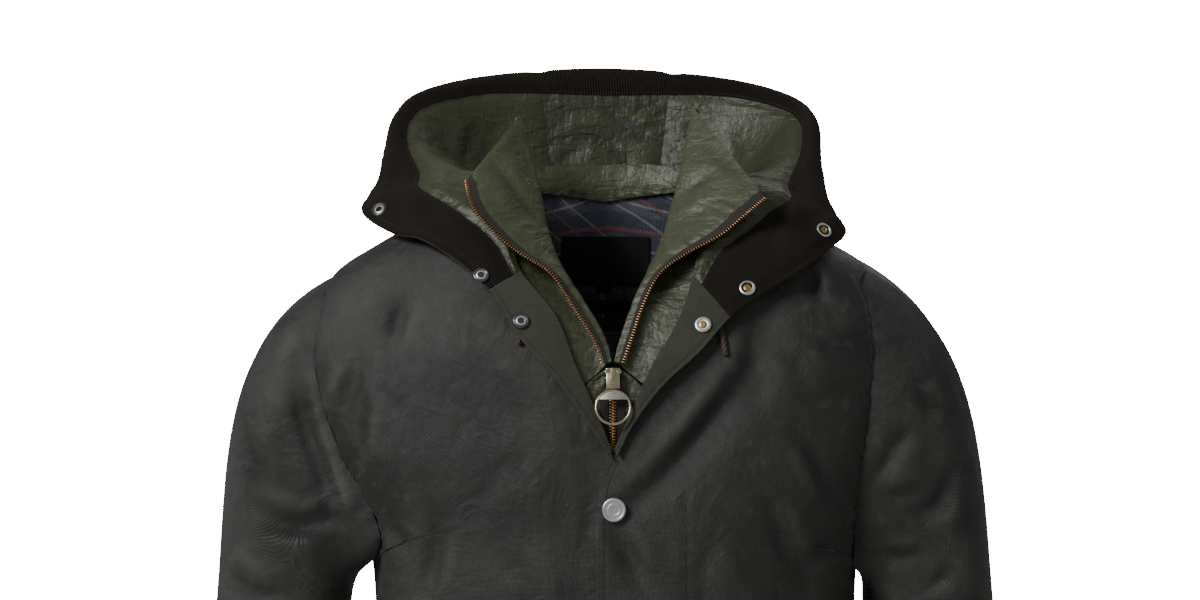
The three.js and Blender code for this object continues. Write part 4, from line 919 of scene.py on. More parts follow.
@dataclass(frozen=True)
class WovenCloth(Finish):
    """Plain or twill woven cotton, proofed with wax or bare.

    The wax fills the weave, so the cloth is dull with broad soft lights, dark where it is full
    and paler where folds have cracked it. The troughs of creases get painted shade. Bare cotton
    is rougher and shows its threads.
    """

    dark: str = "#171715"
    pale: str = "#32322f"
    worn: str = "#484843"
    roughness: tuple[float, float] = (0.45, 0.66)
    sheen: float = 0.05
    coat: float = 0.0
    crumple: float = 1.1
    thread: float = 0.12

    def paint(self, tree: bpy.types.NodeTree, shader: bpy.types.Node) -> None:
        """Mottled colour, uneven wax, painted shade in the creases and a crumpled surface."""
        where = add_node(tree, "ShaderNodeTexCoord")
        body, flat = where.outputs["Object"], where.outputs["UV"]
        broad = noise_of(tree, body, 9, detail=5, distortion=0.6)
        blotch = noise_of(tree, body, 70, detail=6, distortion=0.3)
        base = mixed(tree, ranged(tree, broad, 0.32, 0.68, 0, 1), self.dark, self.pale)
        spots = ranged(tree, blotch, 0.56, 0.72, 0, 0.35)
        base = mixed(tree, spots, base, self.worn)
        relief = add_node(tree, "ShaderNodeAttribute", attribute_name="relief").outputs["Fac"]
        base = mixed(tree, ranged(tree, relief, 0.12, 0.7, 0, 0.45), base, self.worn)
        # Painted shade: darker in the troughs of creases and puckers
        base = mixed(tree, ranged(tree, relief, -0.1, -0.9, 0, 0.55), base, self.dark)
        tree.links.new(base, shader.inputs["Base Color"])
        low, high = self.roughness
        rough = ranged(tree, blotch, 0.35, 0.7, low, high)
        tree.links.new(rough, shader.inputs["Roughness"])
        shader.inputs["Sheen Weight"].default_value = self.sheen
        shader.inputs["Sheen Roughness"].default_value = 0.5
        shader.inputs["Coat Weight"].default_value = self.coat
        shader.inputs["Coat Roughness"].default_value = 0.45
        # The real threads are 0.4 mm apart; they are drawn at 1.1 mm so that they show
        warp = waves(tree, flat, 1.1, "X")
        weft = waves(tree, flat, 1.1, "Y")
        soft = noise_of(tree, body, 26, detail=3, distortion=1.4)
        fine = noise_of(tree, body, 130, detail=4, distortion=0.5)
        tree.links.new(relief_of(tree, [
            (warp, self.thread), (weft, self.thread), (fine, 0.35 * self.crumple),
            (soft, 1.6 * self.crumple),
        ]), shader.inputs["Normal"])


@dataclass(frozen=True)
class Corduroy(Finish):
    """Fine-waled cotton corduroy: cut pile in cords, which drinks light and has a soft nap."""

    colour: str = "#17130f"
    tip: str = "#2b241d"
    pitch: float = 2.6
    axis: str = "Y"

    def paint(self, tree: bpy.types.NodeTree, shader: bpy.types.Node) -> None:
        """Cords by UV, with a painted highlight on their tops."""
        where = add_node(tree, "ShaderNodeTexCoord")
        cord = waves(tree, where.outputs["UV"], self.pitch, self.axis, 0.3)
        nap = noise_of(tree, where.outputs["Object"], 60, detail=5)
        # Painted highlight: the tops of the cords are paler than the valleys
        base = mixed(tree, ranged(tree, cord, 0.3, 1.0, 0, 0.8), self.colour, self.tip)
        base = mixed(tree, ranged(tree, nap, 0.5, 0.75, 0, 0.4), base, self.colour)
        tree.links.new(base, shader.inputs["Base Color"])
        shader.inputs["Roughness"].default_value = 0.92
        shader.inputs["Specular IOR Level"].default_value = 0.2
        shader.inputs["Sheen Weight"].default_value = 0.18
        shader.inputs["Sheen Roughness"].default_value = 0.4
        shader.inputs["Sheen Tint"].default_value = linear("#7a6a58")
        fuzz = noise_of(tree, where.outputs["Object"], 900, detail=2)
        tree.links.new(relief_of(tree, [(cord, 0.9), (fuzz, 0.2), (nap, 0.8)]),
                       shader.inputs["Normal"])


@dataclass(frozen=True)
class Nylon(Finish):
    """Light ripstop nylon over wadding: thin, smooth and softly shiny, with small sharp wrinkles."""

    dark: str = "#22261a"
    pale: str = "#454a33"
    light: str = "#5f6549"
    roughness: float = 0.42

    def paint(self, tree: bpy.types.NodeTree, shader: bpy.types.Node) -> None:
        """Painted shade in the seams, painted light on the puffs, painted sheen on the wrinkles, and
        small wrinkles across the cloth.
        """
        where = add_node(tree, "ShaderNodeTexCoord")
        body, flat = where.outputs["Object"], where.outputs["UV"]
        relief = add_node(tree, "ShaderNodeAttribute", attribute_name="relief").outputs["Fac"]
        wrinkle = noise_of(tree, body, 34, (1.0, 1.0, 2.6), 3, 1.2)
        small = noise_of(tree, body, 120, (1.4, 1.4, 0.7), 3, 0.8)
        # Painted shade: darker in the seams and dents, paler on the raised puffs
        base = mixed(tree, ranged(tree, relief, -0.5, 0.35, 0, 1), self.dark, self.pale)
        # Painted sheen: paler streaks along the wrinkles
        base = mixed(tree, ranged(tree, wrinkle, 0.5, 0.78, 0, 0.4), base, self.light)
        tree.links.new(base, shader.inputs["Base Color"])
        rough = ranged(tree, small, 0.3, 0.7, self.roughness - 0.06, self.roughness + 0.08)
        tree.links.new(rough, shader.inputs["Roughness"])
        shader.inputs["Sheen Weight"].default_value = 0.12
        shader.inputs["Sheen Roughness"].default_value = 0.35
        shader.inputs["Sheen Tint"].default_value = linear("#c3cba4")
        # The real threads are 0.15 mm apart, so only every sixth shows here
        warp = waves(tree, flat, 0.9, "X")
        tree.links.new(relief_of(tree, [(warp, 0.05), (small, 0.9), (wrinkle, 2.4)]),
                       shader.inputs["Normal"])


@dataclass(frozen=True)
class CheckCloth(Finish):
    """Brushed cotton in a plain generic check: soft, matt, with colours crossing at half strength."""

    ground: str = "#51535b"
    slate: str = "#343b4d"
    grey: str = "#8c8f94"
    red: str = "#88474c"

    def stripe(self, tree: bpy.types.NodeTree, run: bpy.types.NodeSocket, period: float,
               place: float, width: float) -> bpy.types.NodeSocket:
        """One where a stripe lies, by its period, place and width in millimetres."""
        turned = add_node(tree, "ShaderNodeMath", {1: period * MM}, {0: run}, operation="MODULO")
        away = add_node(tree, "ShaderNodeMath", {1: place * MM}, {0: turned.outputs[0]},
                        operation="SUBTRACT")
        size = add_node(tree, "ShaderNodeMath", {}, {0: away.outputs[0]}, operation="ABSOLUTE")
        return ranged(tree, size.outputs[0], width * MM / 2 - 0.0004, width * MM / 2 + 0.0004, 1, 0)

    def paint(self, tree: bpy.types.NodeTree, shader: bpy.types.Node) -> None:
        """Stripes both ways, each as see-through as half of the threads, with painted shade in the
        puckers.
        """
        where = add_node(tree, "ShaderNodeTexCoord")
        split = add_node(tree, "ShaderNodeSeparateXYZ", {}, {0: where.outputs["UV"]})
        base: object = self.ground
        rows = (
            (0, 52, 26, 24, self.slate, 0.75), (1, 52, 13, 22, self.slate, 0.75),
            (0, 52, 5, 3, self.grey, 0.6), (1, 52, 36, 3, self.grey, 0.6),
            (1, 104, 58, 4, self.red, 0.7), (0, 104, 83, 4, self.red, 0.6),
        )
        for axis, period, place, width, colour, share in rows:
            line = self.stripe(tree, split.outputs[axis], period, place, width)
            base = mixed(tree, ranged(tree, line, 0, 1, 0, share), base, colour)
        relief = add_node(tree, "ShaderNodeAttribute", attribute_name="relief").outputs["Fac"]
        # Painted shade: darker in the troughs of the puckers
        base = mixed(tree, ranged(tree, relief, 0.0, -0.9, 0, 0.5), base, "#15161a")
        tree.links.new(base, shader.inputs["Base Color"])
        shader.inputs["Roughness"].default_value = 0.85
        shader.inputs["Sheen Weight"].default_value = 0.1
        nap = noise_of(tree, where.outputs["Object"], 500, detail=3)
        twill = waves(tree, where.outputs["UV"], 1.2, "DIAGONAL")
        soft = noise_of(tree, where.outputs["Object"], 40, detail=3, distortion=1)
        tree.links.new(relief_of(tree, [(twill, 0.12), (nap, 0.2), (soft, 1.5)]),
                       shader.inputs["Normal"])


@dataclass(frozen=True)
class Metal(Finish):
    """Cast or turned metal, brushed, plated or aged.

    Handling keeps the high places bright and leaves the hollows dull.
    """

    colour: str = "#a39a84"
    dull: str = "#5d5544"
    roughness: float = 0.32
    brushed: float = 0.0
    patina: float = 0.4

    def paint(self, tree: bpy.types.NodeTree, shader: bpy.types.Node) -> None:
        """Metal with a thin uneven patina and, where it is brushed, fine lines."""
        body = add_node(tree, "ShaderNodeTexCoord").outputs["Object"]
        patch = noise_of(tree, body, 420, detail=5)
        base = mixed(tree, ranged(tree, patch, 0.5, 0.72, 0, self.patina), self.colour, self.dull)
        tree.links.new(base, shader.inputs["Base Color"])
        shader.inputs["Metallic"].default_value = 1.0
        rough = ranged(tree, patch, 0.3, 0.7, self.roughness - 0.06, self.roughness + 0.12)
        tree.links.new(rough, shader.inputs["Roughness"])
        lines = noise_of(tree, body, 260, (1, 1, 14), 3)
        tree.links.new(relief_of(tree, [(patch, 0.03), (lines, 0.06 * self.brushed)]),
                       shader.inputs["Normal"])


@dataclass(frozen=True)
class WovenTrim(Finish):
    """Close-woven polyester trim, such as tape, label, braid or thread: matt, with small ribs."""

    colour: str = "#241d18"
    raised: str = "#3b3029"
    pitch: float = 1.0
    axis: str = "DIAGONAL"
    roughness: float = 0.8
    height: float = 0.3

    def paint(self, tree: bpy.types.NodeTree, shader: bpy.types.Node) -> None:
        """Ribs by UV, with a painted highlight on their tops."""
        where = add_node(tree, "ShaderNodeTexCoord")
        rib = waves(tree, where.outputs["UV"], self.pitch, self.axis)
        cross = waves(tree, where.outputs["UV"], self.pitch * 1.3, "X")
        grain = noise_of(tree, where.outputs["Object"], 300, detail=3)
        # Painted highlight: the tops of the ribs are paler
        base = mixed(tree, ranged(tree, rib, 0.35, 1, 0, 0.8), self.colour, self.raised)
        base = mixed(tree, ranged(tree, grain, 0.45, 0.8, 0, 0.3), base, self.colour)
        tree.links.new(base, shader.inputs["Base Color"])
        shader.inputs["Roughness"].default_value = self.roughness
        shader.inputs["Sheen Weight"].default_value = 0.08
        tree.links.new(relief_of(tree, [(rib, self.height), (cross, self.height * 0.5)]),
                       shader.inputs["Normal"])


@dataclass(frozen=True)
class Painted(Finish):
    """Matt painted board, for the studio floor."""

    colour: str = "#d9d8d5"

    def paint(self, tree: bpy.types.NodeTree, shader: bpy.types.Node) -> None:
        """Pale paint with a faint roller texture."""
        body = add_node(tree, "ShaderNodeTexCoord").outputs["Object"]
        roller = noise_of(tree, body, 60, detail=4)
        tree.links.new(mixed(tree, ranged(tree, roller, 0.3, 0.7, 0, 0.2), self.colour, "#cfceca"),
                       shader.inputs["Base Color"])
        shader.inputs["Roughness"].default_value = 0.85
        tree.links.new(relief_of(tree, [(roller, 0.2)]), shader.inputs["Normal"])


WAXED = WovenCloth("waxed_cotton", "wax_cloth")
OLIVE = WovenCloth("olive_facing_cotton", "facing_cloth", dark="#2c2e22", pale="#3c3f30",
                   worn="#4a4d3b", roughness=(0.7, 0.9), sheen=0.15, crumple=0.6, thread=0.25)
CORD_CLOTH = Corduroy("fine_waled_corduroy", "corduroy")
GREEN_NYLON = Nylon("quilted_nylon", "nylon")
# A darker copy of the quilted nylon: painted shade for the hood lining, which lies in shade
SHADED_HOOD_NYLON = Nylon("hood_lining_nylon", "nylon", dark="#191c12", pale="#343924", light="#484d36")
CHECK = CheckCloth("brushed_generic_check", "check_lining")
TAPE = WovenTrim("zip_tape_twill", "zip_tape", pitch=1.2)
TEETH = Metal("copper_brass_teeth", "zip_teeth", colour="#b08a62", dull="#5f4230", roughness=0.3)
AGED_BRASS = Metal("aged_pale_brass", "pull_metal", colour="#cbbf9f", dull="#7d6c50",
                   roughness=0.26, patina=0.35)
HALF_MOON = Metal("brushed_grey_brass", "pull_metal", colour="#b9b4ac", dull="#8d8477",
                  roughness=0.4, brushed=1.0, patina=0.3)
NICKEL = Metal("dull_nickel", "stud_metal", colour="#e0e4e7", dull="#a5abaf", roughness=0.36)
DARK_NICKEL = Metal("dark_nickel", "stud_metal", colour="#6d7072", dull="#2c2d2e", roughness=0.3)
GOLD = Metal("pale_gold_brass", "stud_metal", colour="#c9a86c", dull="#7a6038", roughness=0.3)
LABEL = WovenTrim("black_woven_label", "label_cloth", colour="#08080a", raised="#131316",
                  pitch=0.9, axis="X", height=0.12)
BRAID = WovenTrim("brown_braid", "drawcord", colour="#33221c", raised="#5d4338", pitch=2.4,
                  height=0.6)
THREAD_DARK = WovenTrim("dark_polyester_thread", "wax_cloth", colour="#1b1b18",
                        raised="#35342d", pitch=0.7, height=0.2, roughness=0.6)
THREAD_OLIVE = WovenTrim("olive_polyester_thread", "nylon", colour="#23261a",
                         raised="#484d36", pitch=0.7, height=0.2, roughness=0.6)


def trimmed(points: Array, amount: float = SEAM / 2) -> Array:
    """A grid whose outer points are pulled in along the cloth, to open its seams."""
    moved = points.copy()
    for outer, inner in ((0, 1), (-1, -2)):
        moved[outer] += unit(points[inner] - points[outer]) * amount
        moved[:, outer] += unit(points[:, inner] - points[:, outer]) * amount
    return moved


def row_places(low: int, high: int) -> Array:
    """Rows of a body panel: even up to the armpit, then closer together at its foot."""
    below = np.linspace(0, ARMPIT_ROW, low, endpoint=False)
    return np.concatenate([below, ARMPIT_ROW + (1 - ARMPIT_ROW) * np.linspace(0, 1, high) ** 1.35])


def rest_on(cloth: Cloth, base: Array) -> None:
    """Lifts a cloth wherever it has sunk below the grid that it was laid on."""
    sunk = ((cloth.points - base) * cloth.normals).sum(axis=2)
    cloth.points = cloth.points + cloth.normals * np.maximum(0, -sunk)[..., None]


# Creases of the fronts, seen from the front. X below 0 is the wearer's right.
FRONT_CREASES = (
    Crease(((-180, -112), (-188, -134), (-192, -154)), 8, 3.4, 0.5),
    Crease(((-224, -175), (-234, -203), (-242, -229)), 9, 3.6, -0.5),
    Crease(((-217, -204), (-222, -235), (-224, -264)), 7, 2.4, 0.5),
    Crease(((-206, -185), (-197, -210)), 6, 1.8, 0.4),
    Crease(((-149, -314), (-155, -351), (-162, -379)), 8, 3.2, 0.5),
    Crease(((-197, -314), (-177, -344)), 7, 2.6, -0.4),
    Crease(((-12, -282), (-15, -312), (-16, -344)), 7, 2.0, 0.3),
    Crease(((-60, -250), (-92, -268), (-118, -300)), 11, 1.6, 0.5),
    Crease(((-96, -336), (-70, -368), (-62, -402)), 10, 2.2, 0.4),
    Crease(((24, -297), (61, -264), (86, -234), (111, -204), (129, -175), (133, -135)), 9, 4.0, 0.6),
    Crease(((46, -262), (78, -236), (100, -206), (116, -176)), 8, 1.8, 0.4),
    Crease(((6, -319), (18, -341), (31, -366)), 8, 3.0, 0.5),
    Crease(((173, -234), (190, -262), (205, -291)), 8, 3.2, -0.5),
    Crease(((146, -299), (161, -339), (183, -374)), 9, 3.4, 0.5),
    Crease(((204, -332), (180, -354)), 7, 2.2, 0.4),
    Crease(((180, -89), (188, -100), (193, -112)), 6, 4.0, 0.6),
    Crease(((150, -150), (172, -176), (180, -206)), 10, 1.8, 0.5),
    Crease(((96, -330), (84, -362), (88, -398)), 11, 2.2, 0.4),
    Crease(((-190, -420), (-150, -470), (-120, -540)), 13, 4.2, 0.5),
    Crease(((-60, -450), (-88, -520), (-80, -590)), 12, 3.0, -0.4),
    Crease(((-205, -560), (-160, -600), (-150, -660)), 12, 3.2, 0.4),
    Crease(((190, -430), (160, -500), (150, -570)), 13, 4.2, -0.5),
    Crease(((60, -470), (92, -530), (98, -610)), 12, 3.0, 0.4),
    Crease(((215, -580), (180, -640), (176, -700)), 12, 3.2, 0.4),
    Crease(((20, -640), (46, -680), (40, -730)), 10, 2.2, 0.4),
)

# Creases of the back, with X as seen from the front
BACK_CREASES = (
    Crease(((-214, -170), (-170, -240), (-128, -286)), 12, 4.4, 0.5, True),
    Crease(((-196, -236), (-160, -300), (-150, -352)), 10, 3.0, -0.4, True),
    Crease(((218, -182), (176, -246), (140, -280)), 12, 4.0, -0.5, True),
    Crease(((190, -262), (168, -318), (120, -350)), 10, 3.0, 0.4, True),
    Crease(((-60, -120), (-20, -140), (50, -132)), 14, 2.4, 0.5, True),
    Crease(((-100, -210), (-84, -268), (-96, -330)), 12, 2.2, 0.4, True),
    Crease(((70, -220), (88, -290), (70, -352)), 12, 2.4, -0.4, True),
    Crease(((-190, -400), (-110, -440), (-40, -500)), 14, 4.2, 0.5, True),
    Crease(((-200, -500), (-130, -560), (-110, -640)), 13, 3.6, -0.4, True),
    Crease(((20, -400), (60, -460), (130, -500)), 13, 3.6, 0.5, True),
    Crease(((200, -460), (150, -530), (160, -610)), 13, 3.4, 0.4, True),
    Crease(((-40, -580), (-10, -640), (-26, -710)), 12, 3.0, 0.4, True),
    Crease(((90, -600), (66, -660), (80, -720)), 12, 2.6, -0.4, True),
)

SLEEVE_CREASES = {
    Side.RIGHT: (
        Crease(((-284, -178), (-274, -228), (-256, -279), (-246, -315)), 9, 5.4, 0.6),
        Crease(((-281, -143), (-290, -157), (-299, -171)), 8, -2.4, 0.0),
        Crease(((-312, -308), (-279, -319), (-243, -313)), 8, 4.0, 0.6),
        Crease(((-309, -326), (-286, -331), (-263, -332)), 6, 2.4, -0.5),
        Crease(((-330, -240), (-318, -268), (-322, -300)), 9, 2.6, 0.4),
        Crease(((-352, -360), (-322, -382), (-286, -380)), 10, 3.8, 0.5),
        Crease(((-268, -420), (-296, -452), (-332, -462)), 11, 4.0, 0.5),
        Crease(((-352, -500), (-316, -520), (-276, -506)), 11, 4.4, 0.5),
        Crease(((-274, -560), (-306, -584), (-344, -580)), 10, 3.4, -0.5),
        Crease(((-360, -640), (-330, -662), (-290, -656)), 11, 3.2, 0.4),
        Crease(((-262, -300), (-300, -340), (-340, -350)), 11, 4.2, 0.5, True),
        Crease(((-250, -380), (-290, -430), (-350, -440)), 12, 4.8, 0.5, True),
        Crease(((-262, -470), (-310, -500), (-356, -490)), 11, 4.2, -0.5, True),
        Crease(((-270, -560), (-320, -590), (-360, -570)), 11, 3.4, 0.4, True),
        Crease(((-300, -160), (-306, -220), (-290, -270)), 12, 3.6, 0.4, True),
    ),
    Side.LEFT: (
        Crease(((283, -194), (292, -210), (296, -225)), 7, 3.0, 0.5),
        Crease(((273, -232), (258, -256), (242, -281)), 8, 4.0, 0.6),
        Crease(((257, -292), (272, -291), (288, -286)), 7, 3.0, 0.5),
        Crease(((316, -268), (303, -302), (283, -309)), 9, 4.6, 0.6),
        Crease(((252, -347), (270, -350), (288, -345)), 7, 3.0, 0.5),
        Crease(((288, -383), (300, -374), (311, -363)), 7, 2.8, -0.5),
        Crease(((335, -250), (326, -290), (332, -330)), 9, 2.6, -0.4),
        Crease(((352, -390), (320, -410), (276, -402)), 11, 4.4, 0.5),
        Crease(((266, -448), (300, -474), (346, -470)), 11, 4.0, -0.5),
        Crease(((354, -530), (318, -546), (278, -532)), 10, 4.2, 0.5),
        Crease(((276, -600), (312, -612), (352, -600)), 10, 3.2, 0.4),
        Crease(((362, -660), (326, -676), (296, -668)), 10, 2.8, 0.4),
        Crease(((262, -310), (298, -352), (344, -356)), 11, 4.4, 0.5, True),
        Crease(((254, -400), (300, -446), (356, -440)), 12, 4.6, -0.5, True),
        Crease(((266, -500), (312, -520), (358, -506)), 11, 4.0, 0.5, True),
        Crease(((276, -590), (318, -606), (360, -590)), 11, 3.2, 0.4, True),
        Crease(((296, -150), (312, -210), (296, -262)), 12, 3.4, 0.4, True),
    ),
}

def small_solid(name: str, size: tuple[float, float, float]) -> bpy.types.Object:
    """A block with sharp edges, centred, with its size in millimetres."""
    clear_selection()
    bpy.ops.mesh.primitive_cube_add(size=1)
    piece = bpy.context.active_object
    piece.name = name
    bpy.ops.object.mode_set(mode="EDIT")
    bpy.ops.mesh.select_all(action="SELECT")
    bpy.ops.transform.resize(value=tuple(s * MM for s in size))
    bpy.ops.object.mode_set(mode="OBJECT")
    return piece


def repeated(name: str, model: bpy.types.Object, places: list[tuple[Array, Array, Array, Array]],
             ) -> bpy.types.Object:
    """Copies of a small model, joined into one mesh.

    Args:
        name: Name of the new piece.
        model: The model, centred, which is removed.
        places: Middle in millimetres and three directions for each copy.

    Returns:
        The joined piece.
    """
    points = np.array([v.co for v in model.data.vertices], float)
    faces = [list(p.vertices) for p in model.data.polygons]
    all_points, all_faces = [], []
    for k, (middle, x, y, z) in enumerate(places):
        turn = np.stack([x, y, z])
        all_points.append(points @ turn / MM + middle)
        all_faces.extend([[v + k * len(points) for v in face] for face in faces])
    bpy.data.objects.remove(model)
    piece = mesh_object(name, np.concatenate(all_points), all_faces)
    select_only(piece)
    bpy.ops.object.shade_smooth_by_angle(angle=math.radians(50))
    return piece


def walked(line: Array, facing: Array, pitch: float) -> list[tuple[Array, Array, Array]]:
    """Even steps along a line: the middle of each, its run and its facing."""
    steps = np.linalg.norm(np.diff(line, axis=0), axis=1)
    run = np.concatenate([[0], np.cumsum(steps)])
    spots = np.arange(pitch / 2, run[-1], pitch)
    at = np.stack([np.interp(spots, run, line[:, k]) for k in range(3)], axis=1)
    face = unit(np.stack([np.interp(spots, run, facing[:, k]) for k in range(3)], axis=1))
    ahead = np.stack([np.interp(spots + 0.6, run, line[:, k]) for k in range(3)], axis=1)
    behind = np.stack([np.interp(spots - 0.6, run, line[:, k]) for k in range(3)], axis=1)
    return list(zip(at, unit(ahead - behind), face))


@dataclass
class Sewing:
    """Rows of lockstitch, each stitch a short rounded length of thread."""

    name: str
    finish: Finish
    pitch: float = 3.3
    length: float = 2.5
    thick: float = 0.55
    places: list = field(default_factory=list)

    def sew(self, line: Array, facing: Array) -> None:
        """Adds a row along a line."""
        for middle, run, face in walked(line, facing, self.pitch):
            face = unit(face - run * np.dot(run, face))
            self.places.append((middle, run, np.cross(face, run), face))

    def build(self) -> bpy.types.Object:
        """Joins the stitches into one piece."""
        clear_selection()
        bpy.ops.mesh.primitive_uv_sphere_add(segments=6, ring_count=4, radius=0.5)
        stitch = bpy.context.active_object
        bpy.ops.object.mode_set(mode="EDIT")
        bpy.ops.mesh.select_all(action="SELECT")
        bpy.ops.transform.rotate(value=math.pi / 2, orient_axis="Y", center_override=(0, 0, 0))
        bpy.ops.transform.resize(value=(self.length * MM, self.thick * MM, self.thick * MM))
        bpy.ops.object.mode_set(mode="OBJECT")
        piece = repeated(self.name, stitch, self.places)
        dress(piece, self.finish, "jacket")
        LOG.info("%s: %d stitches", self.name, len(self.places))
        return piece


@dataclass
class Body:
    """The two fronts and the back."""

    low_rows: int = 56
    high_rows: int = 96
    front_cols: int = 104
    back_cols: int = 140
    flap_line: float = 71.5
    roll_rows: int = 20
    pit_rows: int = 8

    def front(self, side: Side, sewing: Sewing) -> Cloth:
        """One front, with its stitched edge, hem and armhole."""
        at = row_places(self.low_rows, self.high_rows)[:, None]
        v = (np.linspace(0, 1, self.front_cols) ** 1.25)[None, :]
        inner, outer = front_edge(side, at), side_edge(side, at)
        angle, z = lerp(inner[0], outer[0], v), lerp(inner[1], outer[1], v)
        lift = np.zeros(angle.shape)
        if side is Side.RIGHT:
            x = torso_plain(angle, z)[..., 0]
            lift = -UNDER_FLAP * smoothstep(x, -64, -20) * smoothstep(-z, 225, 262)
        points = trimmed(on_torso(angle, z, lift))
        cloth = Cloth(f"front_{side.word}", points, torso_normal(angle, z))
        under = smoothstep(cloth.points[..., 2], -90, -60)
        cloth.crease(FRONT_CREASES, 1.0)
        armhole = smoothstep(np.broadcast_to(at, angle.shape), 0.44, 0.5)
        cloth.pucker(Edge.LAST_COL, 13, 1.1, 16, 1.7 + side.value, armhole)
        cloth.pucker(Edge.FIRST_COL, 21, 0.55, 14, 0.6, 1 - under)
        cloth.pucker(Edge.FIRST_ROW, 24, 0.8, 26, 2.2 + side.value)
        cloth.piping(Edge.FIRST_ROW, HEM_DEPTH, 2.6, 0.7)
        cloth.piping(Edge.FIRST_COL, 6, 1.8, 0.5)
        if side is Side.LEFT:
            down = smoothstep(-cloth.points[..., 2], 276, 292)
            across = (cloth.points[..., 0] - self.flap_line) / 2.4
            run = cloth.along_edge(Edge.FIRST_COL)
            cloth.move(-0.9 * np.exp(-(across**2)) * down)
            soft = np.exp(-((across / 4.5) ** 2))
            cloth.move(0.5 * uneven(run, 17, 0.9) * soft * down)
        low = self.low_rows
        sewing.sew(*cloth.inset(Edge.FIRST_COL, FRONT_STITCH, last=low + self.roll_rows))
        sewing.sew(*cloth.inset(Edge.FIRST_ROW, HEM_DEPTH))
        sewing.sew(*cloth.inset(Edge.LAST_COL, SEAM_STITCH, first=low + self.pit_rows))
        if side is Side.LEFT:
            z = np.linspace(-286, -752, 160)
            sewing.sew(*self.on_front(cloth, np.full(z.shape, self.flap_line), z))
        return cloth

    def on_front(self, cloth: Cloth, x: Array, z: Array) -> tuple[Array, Array]:
        """A line on a front at places seen from the front."""
        facing = cloth.fair()
        flat = cloth.points.reshape(-1, 3)
        line, normals = [], []
        for px, pz in zip(x, z):
            away = np.hypot(flat[:, 0] - px, flat[:, 2] - pz)
            near = np.argsort(away)[:4]
            weight = 1 / (away[near] + 0.2)
            weight /= weight.sum()
            point = weight @ flat[near]
            line.append([px, point[1], pz])
            normals.append(weight @ facing.reshape(-1, 3)[near])
        normals = unit(np.array(normals))
        return np.array(line) + normals * 0.1, normals

    def back(self, sewing: Sewing) -> Cloth:
        """The back in one piece, from the left side over the centre to the right."""
        at = row_places(self.low_rows, self.high_rows)[:, None]
        v = np.linspace(0, 1, self.back_cols)[None, :]
        angle, z = back_places(at, v)
        wrapped = np.where(angle > math.pi, angle - 2 * math.pi, angle)
        cloth = Cloth("back", trimmed(on_torso(wrapped, z)), torso_normal(wrapped, z))
        cloth.crease(BACK_CREASES, 1.0)
        armhole = smoothstep(np.broadcast_to(at, angle.shape), 0.44, 0.5)
        cloth.pucker(Edge.FIRST_COL, 14, 1.0, 16, 0.4, armhole)
        cloth.pucker(Edge.LAST_COL, 13, 1.1, 16, 2.9, armhole)
        cloth.pucker(Edge.FIRST_ROW, 26, 0.8, 26, 5.1)
        cloth.piping(Edge.FIRST_ROW, HEM_DEPTH, 2.6, 0.7)
        sewing.sew(*cloth.inset(Edge.FIRST_ROW, HEM_DEPTH))
        low = self.low_rows
        sewing.sew(*cloth.inset(Edge.FIRST_COL, SEAM_STITCH, first=low + self.pit_rows))
        sewing.sew(*cloth.inset(Edge.LAST_COL, SEAM_STITCH, first=low + self.pit_rows))
        return cloth

    def build(self) -> None:
        """Makes the fronts and the back."""
        sewing = Sewing("topstitch_body", THREAD_DARK)
        for side in Side:
            cloth = self.front(side, sewing)
            cloth.build(WAX, WAXED, cloth.name, ("back",))
        cloth = self.back(sewing)
        cloth.build(WAX, WAXED, "back", ("hood_centre",))
        sewing.build()


def back_places(at: Array, v: Array) -> tuple[Array, Array]:
    """Turn and height of places on the back, from the wearer's left to the right."""
    from_left, to_right = side_edge(Side.LEFT, at, True), side_edge(Side.RIGHT, at, True)

    def full(angle: Array) -> Array:
        return np.where(angle < 0, angle + 2 * math.pi, angle)

    to_angle = full(to_right[0])
    low_angle, low_z = lerp(from_left[0], to_angle, v), lerp(from_left[1], to_right[1], v)
    share = 1 - np.abs(2 * v - 1)
    left_angle, left_z = neck_row(Side.LEFT, share, from_left)
    right_angle, right_z = neck_row(Side.RIGHT, share, to_right)
    top_angle = np.where(v < 0.5, full(left_angle), full(right_angle))
    top_z = np.where(v < 0.5, left_z, right_z)
    bend = smoothstep(at, 0.5, 1)
    return lerp(low_angle, top_angle, bend), lerp(low_z, top_z, bend)


SHOULDER_SHARE = 0.56


def neck_row(side: Side, share: Array, tip: tuple[Array, Array]) -> tuple[Array, Array]:
    """Top of the back: the shoulder seam, then the back neck."""
    t = np.clip(share / SHOULDER_SHARE, 0, 1)
    angle, z = lerp(tip[0], side.value * math.pi / 2, t), lerp(tip[1], NECK_TOP_Z, t)
    neck = back_neck(side, np.clip((share - SHOULDER_SHARE) / (1 - SHOULDER_SHARE), 0, 1))
    return np.where(share < SHOULDER_SHARE, angle, neck[0]), np.where(share < SHOULDER_SHARE, z, neck[1])


